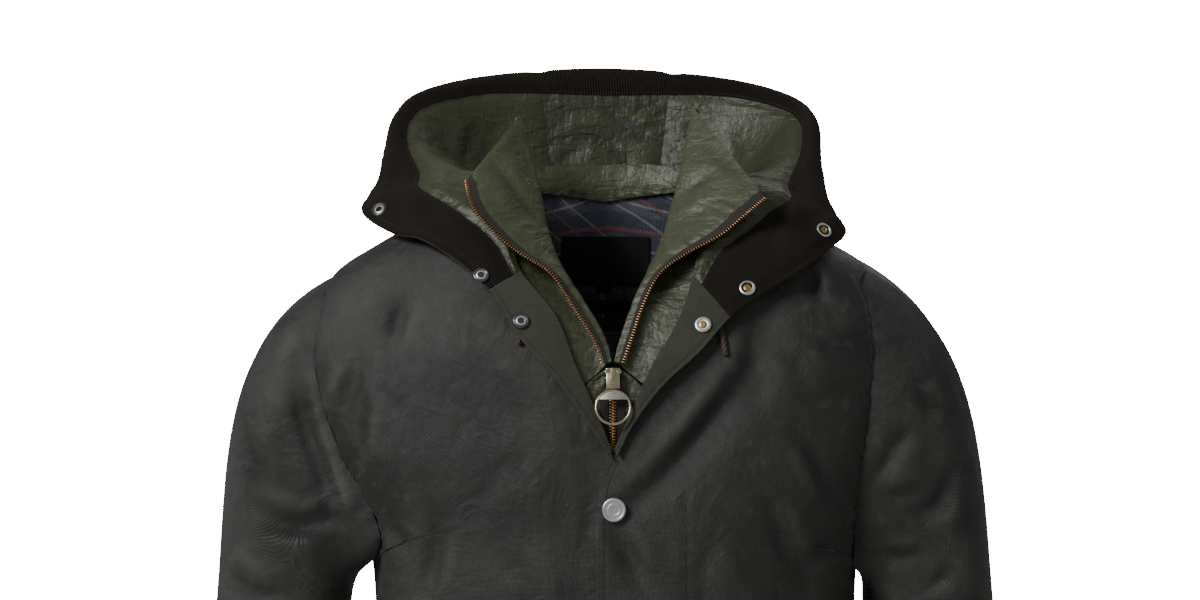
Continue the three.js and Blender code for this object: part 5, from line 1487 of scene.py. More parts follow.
@dataclass
class Sleeves:
    """Two set-in sleeves, each a tube from the armhole to the cuff."""

    cols: int = 96
    cap_rows: int = 56
    low_rows: int = 62
    crowd: float = 1.35
    pit_lift: float = 2.2

    def ring(self, side: Side, z: Array, turn: Array) -> Array:
        """Points round the sleeve below the armpit."""
        table = SLEEVE[side]
        out = signed_power(np.cos(turn), 0.92) * side.value
        front = signed_power(np.sin(turn), 0.92)
        return stack(table.at(z, "x") + table.at(z, "half_x") * out,
                     table.at(z, "y") - table.at(z, "half_y") * front, z)

    def hole(self, side: Side, share: Array) -> Array:
        """Points round the armhole, from the shoulder down the front and up the back."""
        back = share > 0.5
        at = np.where(back, 2 * share - 1, 1 - 2 * share) ** self.crowd
        front_place, back_place = armhole_edge(side, at, False), armhole_edge(side, at, True)
        angle = np.where(back, back_place[0], front_place[0])
        z = np.where(back, back_place[1], front_place[1])
        lift = self.pit_lift * (1 - smoothstep(at, 0.08, 0.3))
        return on_torso(angle, z) + torso_normal(angle, z) * lift[:, None]

    def cloth(self, side: Side) -> Cloth:
        """The grid of one sleeve with its creases."""
        share = np.arange(self.cols) / self.cols
        turn = 2 * math.pi * share
        hole = self.hole(side, share)
        away = unit(hole * [1, 1.2, 0])
        centre = self.hole(side, np.arange(24) / 24).mean(axis=0)
        hole = hole + unit(centre - hole) * 0.45
        top_z = SLEEVE[side].rows[0][0]
        end = self.ring(side, np.full(self.cols, top_z), turn)
        reach = np.linalg.norm(hole - end, axis=1, keepdims=True)
        top = (1 + np.cos(turn)) / 2
        leave = stack(side.value * (0.35 + 0.55 * top), -0.12 * np.sin(turn), -0.9 + 0.45 * top)
        leave = unit(leave + away * (0.6 * (1 - top))[:, None])
        arrive = unit(np.array([side.value * -0.08, 0, 1]))
        t = np.linspace(0, 1, self.cap_rows, endpoint=False)[:, None, None]
        cap = bezier(hole[None], (hole + leave * 0.36 * reach)[None],
                     (end + arrive * 0.42 * reach)[None], end[None], t)
        z = np.linspace(top_z, CUFF_Z, self.low_rows)[:, None]
        points = np.concatenate([cap, self.ring(side, z, turn[None, :])])
        down = np.gradient(points, axis=0)
        along = np.roll(points, -1, 1) - np.roll(points, 1, 1)
        normals = unit(np.cross(along, down)) * side.value
        return Cloth(f"sleeve_{side.word}", points, normals, round=True)

    def build(self) -> None:
        """Makes both sleeves with their sewing."""
        sewing = Sewing("topstitch_sleeves", THREAD_DARK)
        for side in Side:
            cloth = self.cloth(side)
            cloth.crease(SLEEVE_CREASES[side], 1.0)
            cloth.pucker(Edge.FIRST_ROW, 11, 1.2, 20, 0.8 + side.value)
            cloth.pucker(Edge.LAST_ROW, 19, 0.7, 24, 1.9 + side.value)
            cloth.piping(Edge.LAST_ROW, CUFF_DEPTH, 2.6, 0.7)
            sewing.sew(*cloth.inset(Edge.LAST_ROW, CUFF_DEPTH))
            cloth.build(WAX, WAXED, cloth.name, ("back",))
        sewing.build()


@dataclass(frozen=True)
class Quilting:
    """Wadding held down along sewn lines, as seen from the front."""

    lines: tuple[tuple[tuple[float, float], ...], ...]
    rise: float = 2.4
    reach: float = 9.0
    pitch: float = 8.0

    def puff(self, cloth: Cloth, rim: float = 6.0) -> Cloth:
        """Raises the cloth between the lines and gathers it beside them."""
        x, z = cloth.points[..., 0], cloth.points[..., 2]
        away, run = np.full(x.shape, 60.0), np.zeros(x.shape)
        for line in self.lines:
            done = 0.0
            for (ax, az), (bx, bz) in zip(line[:-1], line[1:]):
                step = math.hypot(bx - ax, bz - az)
                dx, dz = (bx - ax) / step, (bz - az) / step
                t = np.clip((x - ax) * dx + (z - az) * dz, 0, step)
                here = np.hypot(x - ax - t * dx, z - az - t * dz)
                run = np.where(here < away, done + t, run)
                away = np.minimum(away, here)
                done += step
        border = np.minimum.reduce([cloth.from_edge(edge) for edge in Edge])
        held = 1 - np.exp(-((border / rim) ** 2))
        body = 1 - np.exp(-((away / self.reach) ** 2))
        dent = np.exp(-((away / 1.8) ** 2))
        gathers = 0.4 * uneven(run, self.pitch, 1.1) * np.exp(-((away / 6) ** 2))
        return cloth.move((self.rise * body + gathers - 0.5 * dent) * held)


@dataclass
class Hood:
    """The hood turned down and lying open, with its corduroy band and its quilted lining."""

    side_rows: int = 110
    centre_rows: int = 44
    cols: int = 64
    split: float = 0.69
    centre_quilt: Quilting = Quilting((
        ((-71, 83), (-72, 60), (-71, 37)), ((48, 85), (50, 64), (52, 44)),
        ((-71, 68), (-15, 71.5), (48, 72)), ((-71, 37), (-39, 42), (-5, 44), (50, 43)),
        ((-40, 65), (-68, 39)), ((-20, 40), (-43, 21)), ((5, 66), (43, 43)), ((-6, 39), (20, 20)),
    ))
    creases: tuple[Crease, ...] = (
        Crease(((54, 64), (66, 46), (79, 26)), 5, 1.8, 0.5),
        Crease(((66, 70), (84, 54), (98, 34)), 6, 2.0, -0.4),
        Crease(((-96, 66), (-110, 40), (-118, 18)), 7, 2.2, 0.5),
        Crease(((-122, 54), (-134, 26), (-138, 2)), 7, 2.4, -0.5),
        Crease(((-150, 36), (-148, 8), (-152, -14)), 7, 2.0, 0.4),
        Crease(((118, 44), (126, 18), (128, -6)), 7, 2.0, 0.5),
        Crease(((-60, 84), (-52, 78)), 4, 1.2, 0.4), Crease(((10, 88), (14, 80)), 4, 1.2, 0.4),
    )
    band_creases: tuple[Crease, ...] = (
        Crease(((-196, 14), (-188, -14), (-196, -40)), 10, 2.8, 0.5),
        Crease(((-176, -6), (-162, -30), (-150, -52)), 9, 2.2, -0.4),
        Crease(((-206, -16), (-184, -30)), 8, 2.0, 0.4),
        Crease(((192, 16), (184, -12), (188, -36)), 10, 2.6, -0.5),
        Crease(((172, -2), (160, -36), (150, -64)), 9, 2.4, 0.5),
        Crease(((208, -30), (186, -44)), 8, 2.0, 0.4),
        Crease(((-120, 120), (-80, 132), (-30, 136)), 8, 1.6, 0.4),
        Crease(((40, 136), (92, 130), (126, 118)), 8, 1.6, 0.4),
    )
    shell_creases: tuple[Crease, ...] = (
        Crease(((-150, 60), (-90, 20), (-20, 10)), 14, 3.4, 0.5, True),
        Crease(((140, 66), (84, 30), (30, -4)), 14, 3.2, -0.5, True),
        Crease(((-110, -6), (-40, -34), (30, -40)), 12, 3.0, 0.4, True),
        Crease(((-20, 70), (20, 56), (70, 60)), 12, 2.4, 0.4, True),
    )

    def places(self, panel: str, rows: int) -> list[tuple[Side, Array]]:
        """Side and u of each row of a panel."""
        if panel != "centre":
            side = Side[panel.upper()]
            start = HOODS[side].share(HOOD_START)
            return [(side, u) for u in np.linspace(start, CENTRE_PANEL, rows)]
        spots = np.linspace(0, 1, rows)
        return [(Side.RIGHT if p < 0.5 else Side.LEFT,
                 lerp(CENTRE_PANEL, 1, 1 - abs(2 * p - 1))) for p in spots]

    def sheet(self, name: str, panel: str, part: str, lift: float) -> Cloth:
        """A grid over a panel: all of it, its lining or its band."""
        rows = self.places(panel, self.centre_rows if panel == "centre" else self.side_rows)
        share = {"shell": 1.0, "lining": self.split, "band": 1 - self.split}[part]
        q = np.linspace(0, 1, max(round(self.cols * share), 12))
        points, normals = [], []
        for side, u in rows:
            band = HOODS[side].band(u)
            v = {"shell": q, "lining": q * band, "band": lerp(band, 1, q)}[part]
            normal = HOODS[side].normal(np.full(v.shape, u), v)
            points.append(HOODS[side].at(np.full(v.shape, u), v) + normal * lift)
            normals.append(normal)
        trim = -0.5 if part == "shell" else 0.02
        return Cloth(name, trimmed(np.stack(points), trim), np.stack(normals))

    def panel(self, panel: str, dark: Sewing) -> None:
        """Shell, lining and band of one panel."""
        shell = self.sheet(f"hood_{panel}", panel, "shell", 0.0)
        shell.normals = -shell.normals
        shell.points = shell.points + shell.normals * WAX
        shell.crease(self.shell_creases)
        shell.pucker(Edge.LAST_COL, 16, 0.5, 12, 1.2)
        shell.build(WAX, WAXED, shell.name, ("back",))
        lining = self.sheet(f"hood_lining_{panel}", panel, "lining", SEAM + HOOD_CLEAR + LINING)
        lines = self.centre_quilt if panel == "centre" else Quilting((), 3.0, 12)
        base = lining.points.copy()
        lines.puff(lining)
        lining.crease(self.creases)
        lining.pucker(Edge.LAST_COL, 11, 0.8, 12, 2.3)
        rest_on(lining, base)
        lining.build(LINING, SHADED_HOOD_NYLON, lining.name, (shell.name,))
        band = self.sheet(f"hood_band_{panel}", panel, "band", SEAM + HOOD_CLEAR + CORDUROY)
        base = band.points.copy()
        Quilting((), 2.2, 10).puff(band, 9.0)
        band.crease(self.band_creases, 0.8)
        rest_on(band, base)
        band.pucker(Edge.FIRST_COL, 14, 0.7, 10, 0.7)
        band.pucker(Edge.LAST_COL, 18, 0.5, 12, 1.4)
        band.piping(Edge.LAST_COL, RIM_STITCH, 1.8, 0.5)
        band.build(CORDUROY, CORD_CLOTH, band.name, (shell.name,))
        dark.sew(*band.inset(Edge.LAST_COL, RIM_STITCH))
        dark.sew(*band.inset(Edge.FIRST_COL, BAND_STITCH))
        dark.sew(*shell.inset(Edge.LAST_COL, RIM_STITCH))

    def lapel(self, side: Side, dark: Sewing) -> None:
        """The lapel that a front turns out into, with its olive facing."""
        surface = HOODS[side]
        u = np.linspace(0, surface.share(HOOD_START), 70)[:, None]
        v = np.linspace(0, 1, 40)[None, :]
        points, normals = surface.at(u, v), surface.normal(u, v)
        under = Cloth(f"lapel_{side.word}", trimmed(points - normals * WAX), -normals)
        under.build(WAX, WAXED, under.name, (f"front_{side.word}",))
        lift = SEAM + HOOD_CLEAR + FACING
        face = Cloth(f"facing_{side.word}", trimmed(points + normals * lift), normals)
        face.pucker(Edge.LAST_COL, 14, 0.6, 9, 0.9 + side.value)
        face.pucker(Edge.FIRST_COL, 12, 0.5, 8, 1.9 + side.value)
        face.piping(Edge.LAST_COL, 4, 1.5, 0.5)
        face.build(FACING, OLIVE, face.name, (under.name,))
        dark.sew(*face.inset(Edge.LAST_COL, FACING_STITCH))

    def build(self) -> None:
        """Makes the whole hood and both lapels."""
        sewing = Sewing("stitch_hood_lining", THREAD_OLIVE, 3.0, 2.2, 0.45)
        dark = Sewing("topstitch_hood", THREAD_DARK)
        for side in Side:
            self.lapel(side, dark)
        for panel in ("left", "right", "centre"):
            self.panel(panel, dark)
        self.quilt_stitches(sewing)
        sewing.build()
        dark.build()

    def quilt_stitches(self, sewing: Sewing) -> None:
        """Stitches along the quilting of the middle panel."""
        lift = SEAM + HOOD_CLEAR + LINING + 0.1
        u = np.linspace(CENTRE_PANEL - 0.06, 1, 60)[:, None]
        v = np.linspace(0.02, 0.69, 200)[None, :]
        for side in Side:
            points = HOODS[side].at(u, v) + HOODS[side].normal(u, v) * lift
            facing = HOODS[side].normal(u, v)
            flat, face = points.reshape(-1, 3), facing.reshape(-1, 3)
            seen = face[:, 1] < -0.1
            flat, face = flat[seen], face[seen]
            for line in self.centre_quilt.lines:
                spots = np.concatenate([
                    np.linspace(a, b, max(int(math.dist(a, b) / 2), 2), endpoint=False)
                    for a, b in zip(line[:-1], line[1:])
                ])
                spots = spots[spots[:, 0] * side.value >= 0]
                if len(spots) < 3:
                    continue
                near = [int(np.argmin(np.hypot(flat[:, 0] - x, flat[:, 2] - z))) for x, z in spots]
                sewing.sew(flat[near], face[near])


@dataclass
class Collar:
    """The inner zipped collar, turned out, with its crescent across the back of the neck."""

    rows: int = 120
    cols: int = 60
    creases: tuple[Crease, ...] = (
        Crease(((-103, 13), (-81, -18), (-58, -48)), 6, 2.4, 0.6),
        Crease(((-116, -8), (-104, -22), (-92, -40)), 5, 1.4, 0.5),
        Crease(((-84, 34), (-72, 10), (-62, -14)), 6, 1.6, -0.5),
        Crease(((-74, -62), (-60, -76), (-48, -92)), 5, 1.4, 0.5),
        Crease(((64, -23), (84, -8), (106, 5)), 6, 2.4, 0.5),
        Crease(((58, -48), (80, -40), (104, -26)), 6, 1.6, 0.5),
        Crease(((50, -76), (66, -80), (80, -70)), 5, 1.4, 0.4),
        Crease(((92, 30), (112, 10), (130, -8)), 6, 1.6, -0.4),
        Crease(((-30, -112), (-22, -128), (-12, -142)), 4, 1.0, 0.4),
    )

    def side(self, side: Side) -> Cloth:
        """One side of the collar, wadded between its fold and its edge."""
        u = np.linspace(0, 1, self.rows)[:, None]
        v = np.linspace(0, 1, self.cols)[None, :]
        surface = COLLARS[side]
        cloth = Cloth(f"collar_{side.word}", surface.at(u, v), surface.normal(u, v))
        width = cloth.from_edge(Edge.LAST_COL)[:, 30][:, None]
        share = smoothstep(np.broadcast_to(v, cloth.points.shape[:2]), 0.5, 0.72)
        base = cloth.points.copy()
        held = 1 - np.exp(-((cloth.from_edge(Edge.LAST_COL) / 7) ** 2))
        cloth.move(np.minimum(width / 14, 2.2) * share * held)
        cloth.crease(self.creases)
        cloth.pucker(Edge.LAST_COL, 9, 0.8, 11, 0.5 + side.value)
        run = cloth.along_edge(Edge.LAST_COL)
        cloth.move(0.5 * uneven(run, 31, 2.0 + side.value) * share)
        free = smoothstep(cloth.from_edge(Edge.LAST_COL), 2.5, 10)
        cloth.points = base + (cloth.points - base) * free[..., None]
        return cloth

    def crescent(self) -> Cloth:
        """The collar across the back of the neck."""
        p = np.linspace(0, 1, 90)[:, None]
        q = np.linspace(0, 1, 30)[None, :]
        share = 1 - np.abs(2 * p - 1)
        t = lerp(0.2, 1, share)
        left, right = back_neck(Side.LEFT, t), back_neck(Side.RIGHT, t)
        angle, z = np.where(p < 0.5, right[0], left[0]), np.where(p < 0.5, right[1], left[1])
        base = on_torso(angle, z, -WAX - SEAM - NYLON - 1.6)
        height = lerp(9, 35, np.sin(t * math.pi / 2) ** 2)
        away = unit(base * [1, 1, 0] - [0, 10, 0])
        points = base + away * (4 * q * q)[..., None]
        points[..., 2] += height * q - 2
        normals = unit(stack(-points[..., 0], 10 - points[..., 1], 0))
        cloth = Cloth("collar_back", trimmed(points + normals * NYLON), normals)
        cloth.pucker(Edge.FIRST_COL, 15, 1.0, 8, 0.3)
        cloth.pucker(Edge.LAST_COL, 19, 0.8, 9, 1.3)
        run = cloth.along_edge(Edge.FIRST_COL)
        rise = np.sin(math.pi * np.broadcast_to(q, run.shape))
        return cloth.move((1.4 + 0.8 * uneven(run, 44, 0.8)) * rise)

    def build(self) -> None:
        """Makes both sides and the crescent."""
        for side in Side:
            cloth = self.side(side)
            cloth.build(NYLON, GREEN_NYLON, cloth.name, ("back",), "folded")
        cloth = self.crescent()
        cloth.build(NYLON, GREEN_NYLON, cloth.name, ("back",), "hung")


def zip_lift(z: Array) -> Array:
    """How far the closed zip lies behind the face of the fronts."""
    return -lerp(2.1, 7.4, smoothstep(-z, 202, 236))


def on_zip_plane(x: Array, z: Array, extra: float = 0.0) -> Array:
    """Point on the plane of the closed zip."""
    return on_torso(angle_of(x, z), z, zip_lift(z) + extra)


@dataclass
class Zip:
    """The zip: twill tapes, two open rows of teeth, the closed stretch, slider and ring pull."""

    pitch: float = 2.6
    x: float = 6.6
    slider_y: float = -116.4
    slider_z: float = -183.8
    slider_width: float = 13.9
    slider_height: float = 14.6
    slider_depth: float = 8.2
    hinge_y: float = -122.9
    hinge_z: float = -180.1
    hang: float = 15.0
    tooth_width: float = 1.5
    tooth_depth: float = 2.3
    link_size: tuple[float, float, float] = (12.2, 1.8, 16.5)
    link_rise: float = 0.9
    barrel_radius: float = 1.9
    barrel_length: float = 4.2
    barrel_x: float = 5.2
    ring_radius: float = 15.3
    ring_wire: float = 1.2
    ring_drop: float = 32.4
    moon_depth: float = 1.5
    moon_edge: float = 6.9
    bridge_size: tuple[float, float, float] = (3.8, 6.6, 13.6)
    bridge_reach: float = 5.6

    def tape(self, side: Side) -> None:
        """The tape along the free edge of the collar."""
        surface = COLLARS[side]
        u = np.linspace(0, 1, 120)
        inner = surface.at(u, 0.95) + surface.normal(u, 0.95) * TAPE_LIFT
        lines = [inner, surface.beyond(u, 0.0, TAPE_LIFT), surface.beyond(u, TAPE_STAND, TAPE_LIFT)]
        s = np.linspace(0, 2, 9)
        k = np.minimum(s.astype(int), 1)
        points = np.stack([lerp(lines[i], lines[i + 1], f - i) for i, f in zip(k, s)], axis=1)
        normals = np.repeat(surface.normal(u, 1.0)[:, None, :], len(s), axis=1)
        cloth = Cloth(f"zip_tape_{side.word}", points + normals * 0.6, normals)
        cloth.build(0.6, TAPE, cloth.name, (f"collar_{side.word}",))

    def tooth(self, length: float) -> bpy.types.Object:
        """One cast tooth with a thicker head, lying along X."""
        tooth = small_solid("tooth", (length, self.tooth_width, self.tooth_depth))
        bpy.ops.object.mode_set(mode="EDIT")
        bpy.ops.mesh.select_all(action="DESELECT")
        shape = bmesh.from_edit_mesh(tooth.data)
        for face in shape.faces:
            face.select = face.normal.x < -0.9
        bmesh.update_edit_mesh(tooth.data)
        bpy.ops.transform.resize(value=(1, 0.62, 0.7))
        bpy.ops.mesh.select_all(action="SELECT")
        bpy.ops.mesh.bevel(offset=0.35 * MM, segments=1, affect="EDGES")
        bpy.ops.object.mode_set(mode="OBJECT")
        return tooth

    def open_teeth(self, side: Side) -> None:
        """Teeth along the free edge of the collar."""
        surface = COLLARS[side]
        u = np.linspace(0, 1, 400)
        middle = TAPE_STAND + SEAM + CHAIN_WIDTH / 2 - 0.3
        line = surface.beyond(u, middle, TAPE_LIFT + 0.3)
        inside = surface.beyond(u, middle - 2, TAPE_LIFT + 0.3)
        places = []
        for spot, run, _ in walked(line, surface.normal(u, 1.0), self.pitch):
            near = int(np.argmin(np.linalg.norm(line - spot, axis=1)))
            out = unit(line[near] - inside[near])
            out = unit(out - run * np.dot(out, run))
            places.append((spot, out, run, np.cross(out, run)))
        piece = repeated(f"zip_chain_{side.word}", self.tooth(CHAIN_WIDTH + 0.4), places)
        dress(piece, TEETH, "jacket", f"zip_chain_{side.word}")

    def closed_teeth(self) -> None:
        """Two rows of teeth locked together, down to the hem."""
        z = np.linspace(-192, -738, 900)
        line = on_zip_plane(np.full(z.shape, self.x), z, -0.6)
        facing = torso_normal(angle_of(np.full(z.shape, self.x), z), z)
        places = []
        for k, (spot, run, face) in enumerate(walked(line, facing, self.pitch / 2)):
            sign = 1 if k % 2 else -1
            out = unit(np.array([-sign, 0, 0.0]))
            middle = spot + np.array([sign * 1.25, 0, 0])
            run = unit(run - out * np.dot(out, run))
            places.append((middle, out, run, np.cross(out, run)))
        piece = repeated("zip_chain_closed", self.tooth(4.6), places)
        dress(piece, TEETH, "jacket", "zip_chain_closed")

    def closed_tape(self, side: Side) -> None:
        """Tape beside the closed teeth, over the edge of a placket."""
        z = np.linspace(-199, -262, 60)[:, None]
        s = np.linspace(3.9, 10.5, 8)[None, :]
        x = self.x + side.value * (s + 3.0 * smoothstep(z, -214, -200))
        points = on_zip_plane(x, z, 0.9)
        normals = torso_normal(angle_of(x, z), np.broadcast_to(z, x.shape))
        cloth = Cloth(f"closed_tape_{side.word}", points, normals)
        rows, cols = points.shape[:2]
        piece_faces = [[i * cols + j, i * cols + j + 1, (i + 1) * cols + j + 1, (i + 1) * cols + j]
                       for i in range(rows - 1) for j in range(cols - 1)]
        piece = mesh_object(cloth.name, points.reshape(-1, 3), piece_faces)
        index = np.arange(rows * cols).reshape(rows, cols)
        lay_uv(piece, cloth.from_edge(Edge.FIRST_COL), cloth.from_edge(Edge.FIRST_ROW), index)
        wall = piece.modifiers.new("Wall", "SOLIDIFY")
        wall.thickness, wall.offset = 0.5 * MM, 0
        apply_all(piece)
        dress(piece, TAPE, "jacket")

    def placket(self, side: Side) -> None:
        """Quilted strip between the roll line and the closed zip."""
        t = np.linspace(0, 1, 70)[:, None]
        s = np.linspace(0, 1, 34)[None, :]
        z = lerp(lerp(-198, -178, s), -262, t)
        near = smoothstep(-z, 192.8, 196.8)
        inner = self.x + side.value * lerp(7.4, 4.2, near)
        edge = smooth_value(np.array([r[2] for r in FRONT_EDGE[side].rows], float),
                            np.array([r[1] for r in FRONT_EDGE[side].rows], float), z)
        outer = self.x + side.value * np.maximum(16, side.value * (edge - self.x) + 5)
        x = lerp(outer, inner, s)
        cloth = Cloth(f"placket_{side.word}", on_zip_plane(x, z), torso_normal(angle_of(x, z), z))
        cloth.pucker(Edge.LAST_COL, 9, 0.9, 9, 0.8 + side.value)
        cloth.pucker(Edge.FIRST_ROW, 10, 0.5, 10, 2.8)
        across = cloth.along_edge(Edge.FIRST_COL)
        cloth.move(0.7 * uneven(across + 4 * s, 19, 1.2 + side.value) * np.sin(math.pi * s))
        cloth.build(NYLON, GREEN_NYLON, cloth.name, (f"front_{side.word}",), "hung")

    def frame_block(self, name: str, size: tuple[float, float, float], hole_axis: str,
                    inset: float, squeeze: tuple[float, float, float], bevel: float,
                    ) -> bpy.types.Object:
        """A block with a rectangular hole through it and rounded edges."""
        piece = small_solid(name, size)
        axis = "xyz".index(hole_axis)
        bpy.ops.object.mode_set(mode="EDIT")
        shape = bmesh.from_edit_mesh(piece.data)
        for face in shape.faces:
            face.select = abs(face.normal[axis]) > 0.9
        bmesh.update_edit_mesh(piece.data)
        bpy.ops.mesh.inset(thickness=inset * MM, use_individual=True)
        bpy.ops.transform.resize(value=squeeze)
        bpy.ops.mesh.bridge_edge_loops()
        bpy.ops.mesh.select_all(action="SELECT")
        bpy.ops.mesh.remove_doubles(threshold=1e-6)
        bpy.ops.mesh.normals_make_consistent(inside=False)
        bpy.ops.object.mode_set(mode="OBJECT")
        soften(piece, bevel)
        return piece

    def slider(self) -> None:
        """Body of the slider with the bridge that holds the pull."""
        body = small_solid("zip_slider_body",
                           (self.slider_width, self.slider_depth, self.slider_height))
        bpy.ops.object.mode_set(mode="EDIT")
        shape = bmesh.from_edit_mesh(body.data)
        for face in shape.faces:
            face.select = face.normal.z < -0.9
        bmesh.update_edit_mesh(body.data)
        bpy.ops.transform.resize(value=(0.72, 1, 1))
        bpy.ops.mesh.select_all(action="SELECT")
        bpy.ops.mesh.bevel(offset=1.5 * MM, segments=3, affect="EDGES")
        bpy.ops.mesh.select_all(action="DESELECT")
        shape = bmesh.from_edit_mesh(body.data)
        for face in shape.faces:
            face.select = face.normal.y < -0.99 and face.calc_area() > 2e-5
        bmesh.update_edit_mesh(body.data)
        bpy.ops.mesh.inset(thickness=1.2 * MM, depth=-0.5 * MM)
        bpy.ops.object.mode_set(mode="OBJECT")
        bridge_y = self.bridge_size[1] / 2 - self.slider_depth / 2 - self.bridge_reach
        bridge = self.frame_block("bridge", self.bridge_size, "x", 1.4, (1, 1, 1), 0.45)
        bridge.data.transform(Matrix.Translation((0, bridge_y * MM, 0)))
        piece = joined("zip_slider_piece", [body, bridge])
        piece.data.transform(Matrix.Translation(Vector((self.x, self.slider_y, self.slider_z)) * MM))
        dress(piece, AGED_BRASS, "jacket", "zip_slider")

    def pull_place(self, drop: float = 0.0) -> Matrix:
        """Place of the pull as it hangs."""
        middle = Vector((self.x, self.hinge_y, self.hinge_z)) * MM
        turn = Matrix.Rotation(math.radians(-self.hang), 4, "X")
        return Matrix.Translation(middle) @ turn @ Matrix.Translation((0, 0, -drop * MM))

    def link(self) -> None:
        """Frame of the pull with its slot and its two barrels."""
        plate = self.frame_block("link_plate", self.link_size, "y", 2.0, (0.75, 1, 0.98), 0.5)
        plate.data.transform(Matrix.Translation((0, 0, (self.link_rise - self.link_size[2] / 2) * MM)))
        parts = [plate]
        for sign in (-1, 1):
            clear_selection()
            bpy.ops.mesh.primitive_cylinder_add(vertices=32, radius=self.barrel_radius * MM,
                                                depth=self.barrel_length * MM)
            barrel = bpy.context.active_object
            soften(barrel, 0.35)
            barrel.data.transform(Matrix.Translation((sign * self.barrel_x * MM, 0, 0))
                                  @ Matrix.Rotation(math.pi / 2, 4, "Y"))
            parts.append(barrel)
        piece = joined("pull_link_piece", parts)
        piece.data.transform(self.pull_place())
        dress(piece, AGED_BRASS, "pull", "pull_link")

    def ring(self) -> None:
        """Wire ring of the pull, with the half-moon plate across its top."""
        clear_selection()
        bpy.ops.mesh.primitive_torus_add(major_segments=72, minor_segments=16,
                                         major_radius=self.ring_radius * MM,
                                         minor_radius=self.ring_wire * MM)
        ring = bpy.context.active_object
        ring.name = "pull_ring_piece"
        ring.data.transform(Matrix.Rotation(math.pi / 2, 4, "X"))
        clear_selection()
        bpy.ops.mesh.primitive_cylinder_add(vertices=72, radius=self.ring_radius * MM,
                                            depth=self.moon_depth * MM)
        moon = bpy.context.active_object
        moon.name = "pull_half_moon"
        moon.data.transform(Matrix.Rotation(math.pi / 2, 4, "X"))
        bpy.ops.object.mode_set(mode="EDIT")
        bpy.ops.mesh.select_all(action="SELECT")
        bpy.ops.mesh.bisect(plane_co=(0, 0, self.moon_edge * MM), plane_no=(0, 0, -1), use_fill=True,
                            clear_outer=True)
        bpy.ops.object.mode_set(mode="OBJECT")
        soften(moon, 0.3)
        for piece, finish, nodes in ((ring, AGED_BRASS, ("pull_ring",)), (moon, HALF_MOON, ())):
            piece.location = (0, 0, 0)
            piece.data.transform(self.pull_place(self.ring_drop))
            select_only(piece)
            bpy.ops.object.shade_smooth_by_angle(angle=math.radians(40))
            dress(piece, finish, "pull", *nodes)

    def build(self) -> None:
        """Makes the zip and all that is on it."""
        for side in Side:
            self.placket(side)
            self.tape(side)
            self.open_teeth(side)
            self.closed_tape(side)
        self.closed_teeth()
        self.slider()
        self.link()
        self.ring()
        LOG.info("zip: tapes, teeth, slider, link and ring")


def soften(piece: bpy.types.Object, width: float, segments: int = 2) -> None:
    """Rounds the sharp edges of a piece by a width in millimetres."""
    edge = piece.modifiers.new("Edge", "BEVEL")
    edge.width, edge.segments = width * MM, segments
    edge.limit_method, edge.angle_limit = "ANGLE", math.radians(40)
    apply_all(piece)


def joined(name: str, parts: list[bpy.types.Object]) -> bpy.types.Object:
    """Joins parts into one object with smooth faces."""
    select_only(parts[0])
    for part in parts[1:]:
        part.select_set(True)
    bpy.ops.object.join()
    piece = bpy.context.active_object
    piece.name = name
    bpy.ops.object.shade_smooth_by_angle(angle=math.radians(40))
    return piece


def turned(name: str, profile: tuple[tuple[float, float], ...], steps: int = 48) -> bpy.types.Object:
    """A turned piece from radii and heights in millimetres, spun about Z."""
    mesh = bpy.data.meshes.new(name)
    mesh.from_pydata([(r * MM, 0, h * MM) for r, h in profile],
                     [(k, k + 1) for k in range(len(profile) - 1)], [])
    piece = bpy.data.objects.new(name, mesh)
    bpy.context.scene.collection.objects.link(piece)
    select_only(piece)
    bpy.ops.object.mode_set(mode="EDIT")
    bpy.ops.mesh.select_all(action="SELECT")
    bpy.ops.mesh.spin(steps=steps, angle=2 * math.pi, center=(0, 0, 0), axis=(0, 0, 1))
    bpy.ops.mesh.select_all(action="SELECT")
    bpy.ops.mesh.remove_doubles(threshold=2e-6)
    bpy.ops.mesh.normals_make_consistent(inside=False)
    bpy.ops.object.mode_set(mode="OBJECT")
    bpy.ops.object.shade_smooth_by_angle(angle=math.radians(35))
    return piece


def seat_of(node: str) -> tuple[Array, Array]:
    """Middle of the foot of a round fastener of the frame, and the way that it faces."""
    points = np.array([v.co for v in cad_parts[node].data.vertices], float)
    points = np.unique(points.round(7), axis=0)
    middle = (points.min(0) + points.max(0)) / 2
    axis = np.linalg.svd(points - points.mean(0))[2][2]
    axis = axis * (-1 if axis[1] > 0 else 1)
    along = (points - middle) @ axis
    rim = points[np.linalg.norm(points - middle - along[:, None] * axis, axis=1) > 0.004]
    centre = rim.mean(0)
    return centre + axis * (((points - centre) @ axis).min()), axis


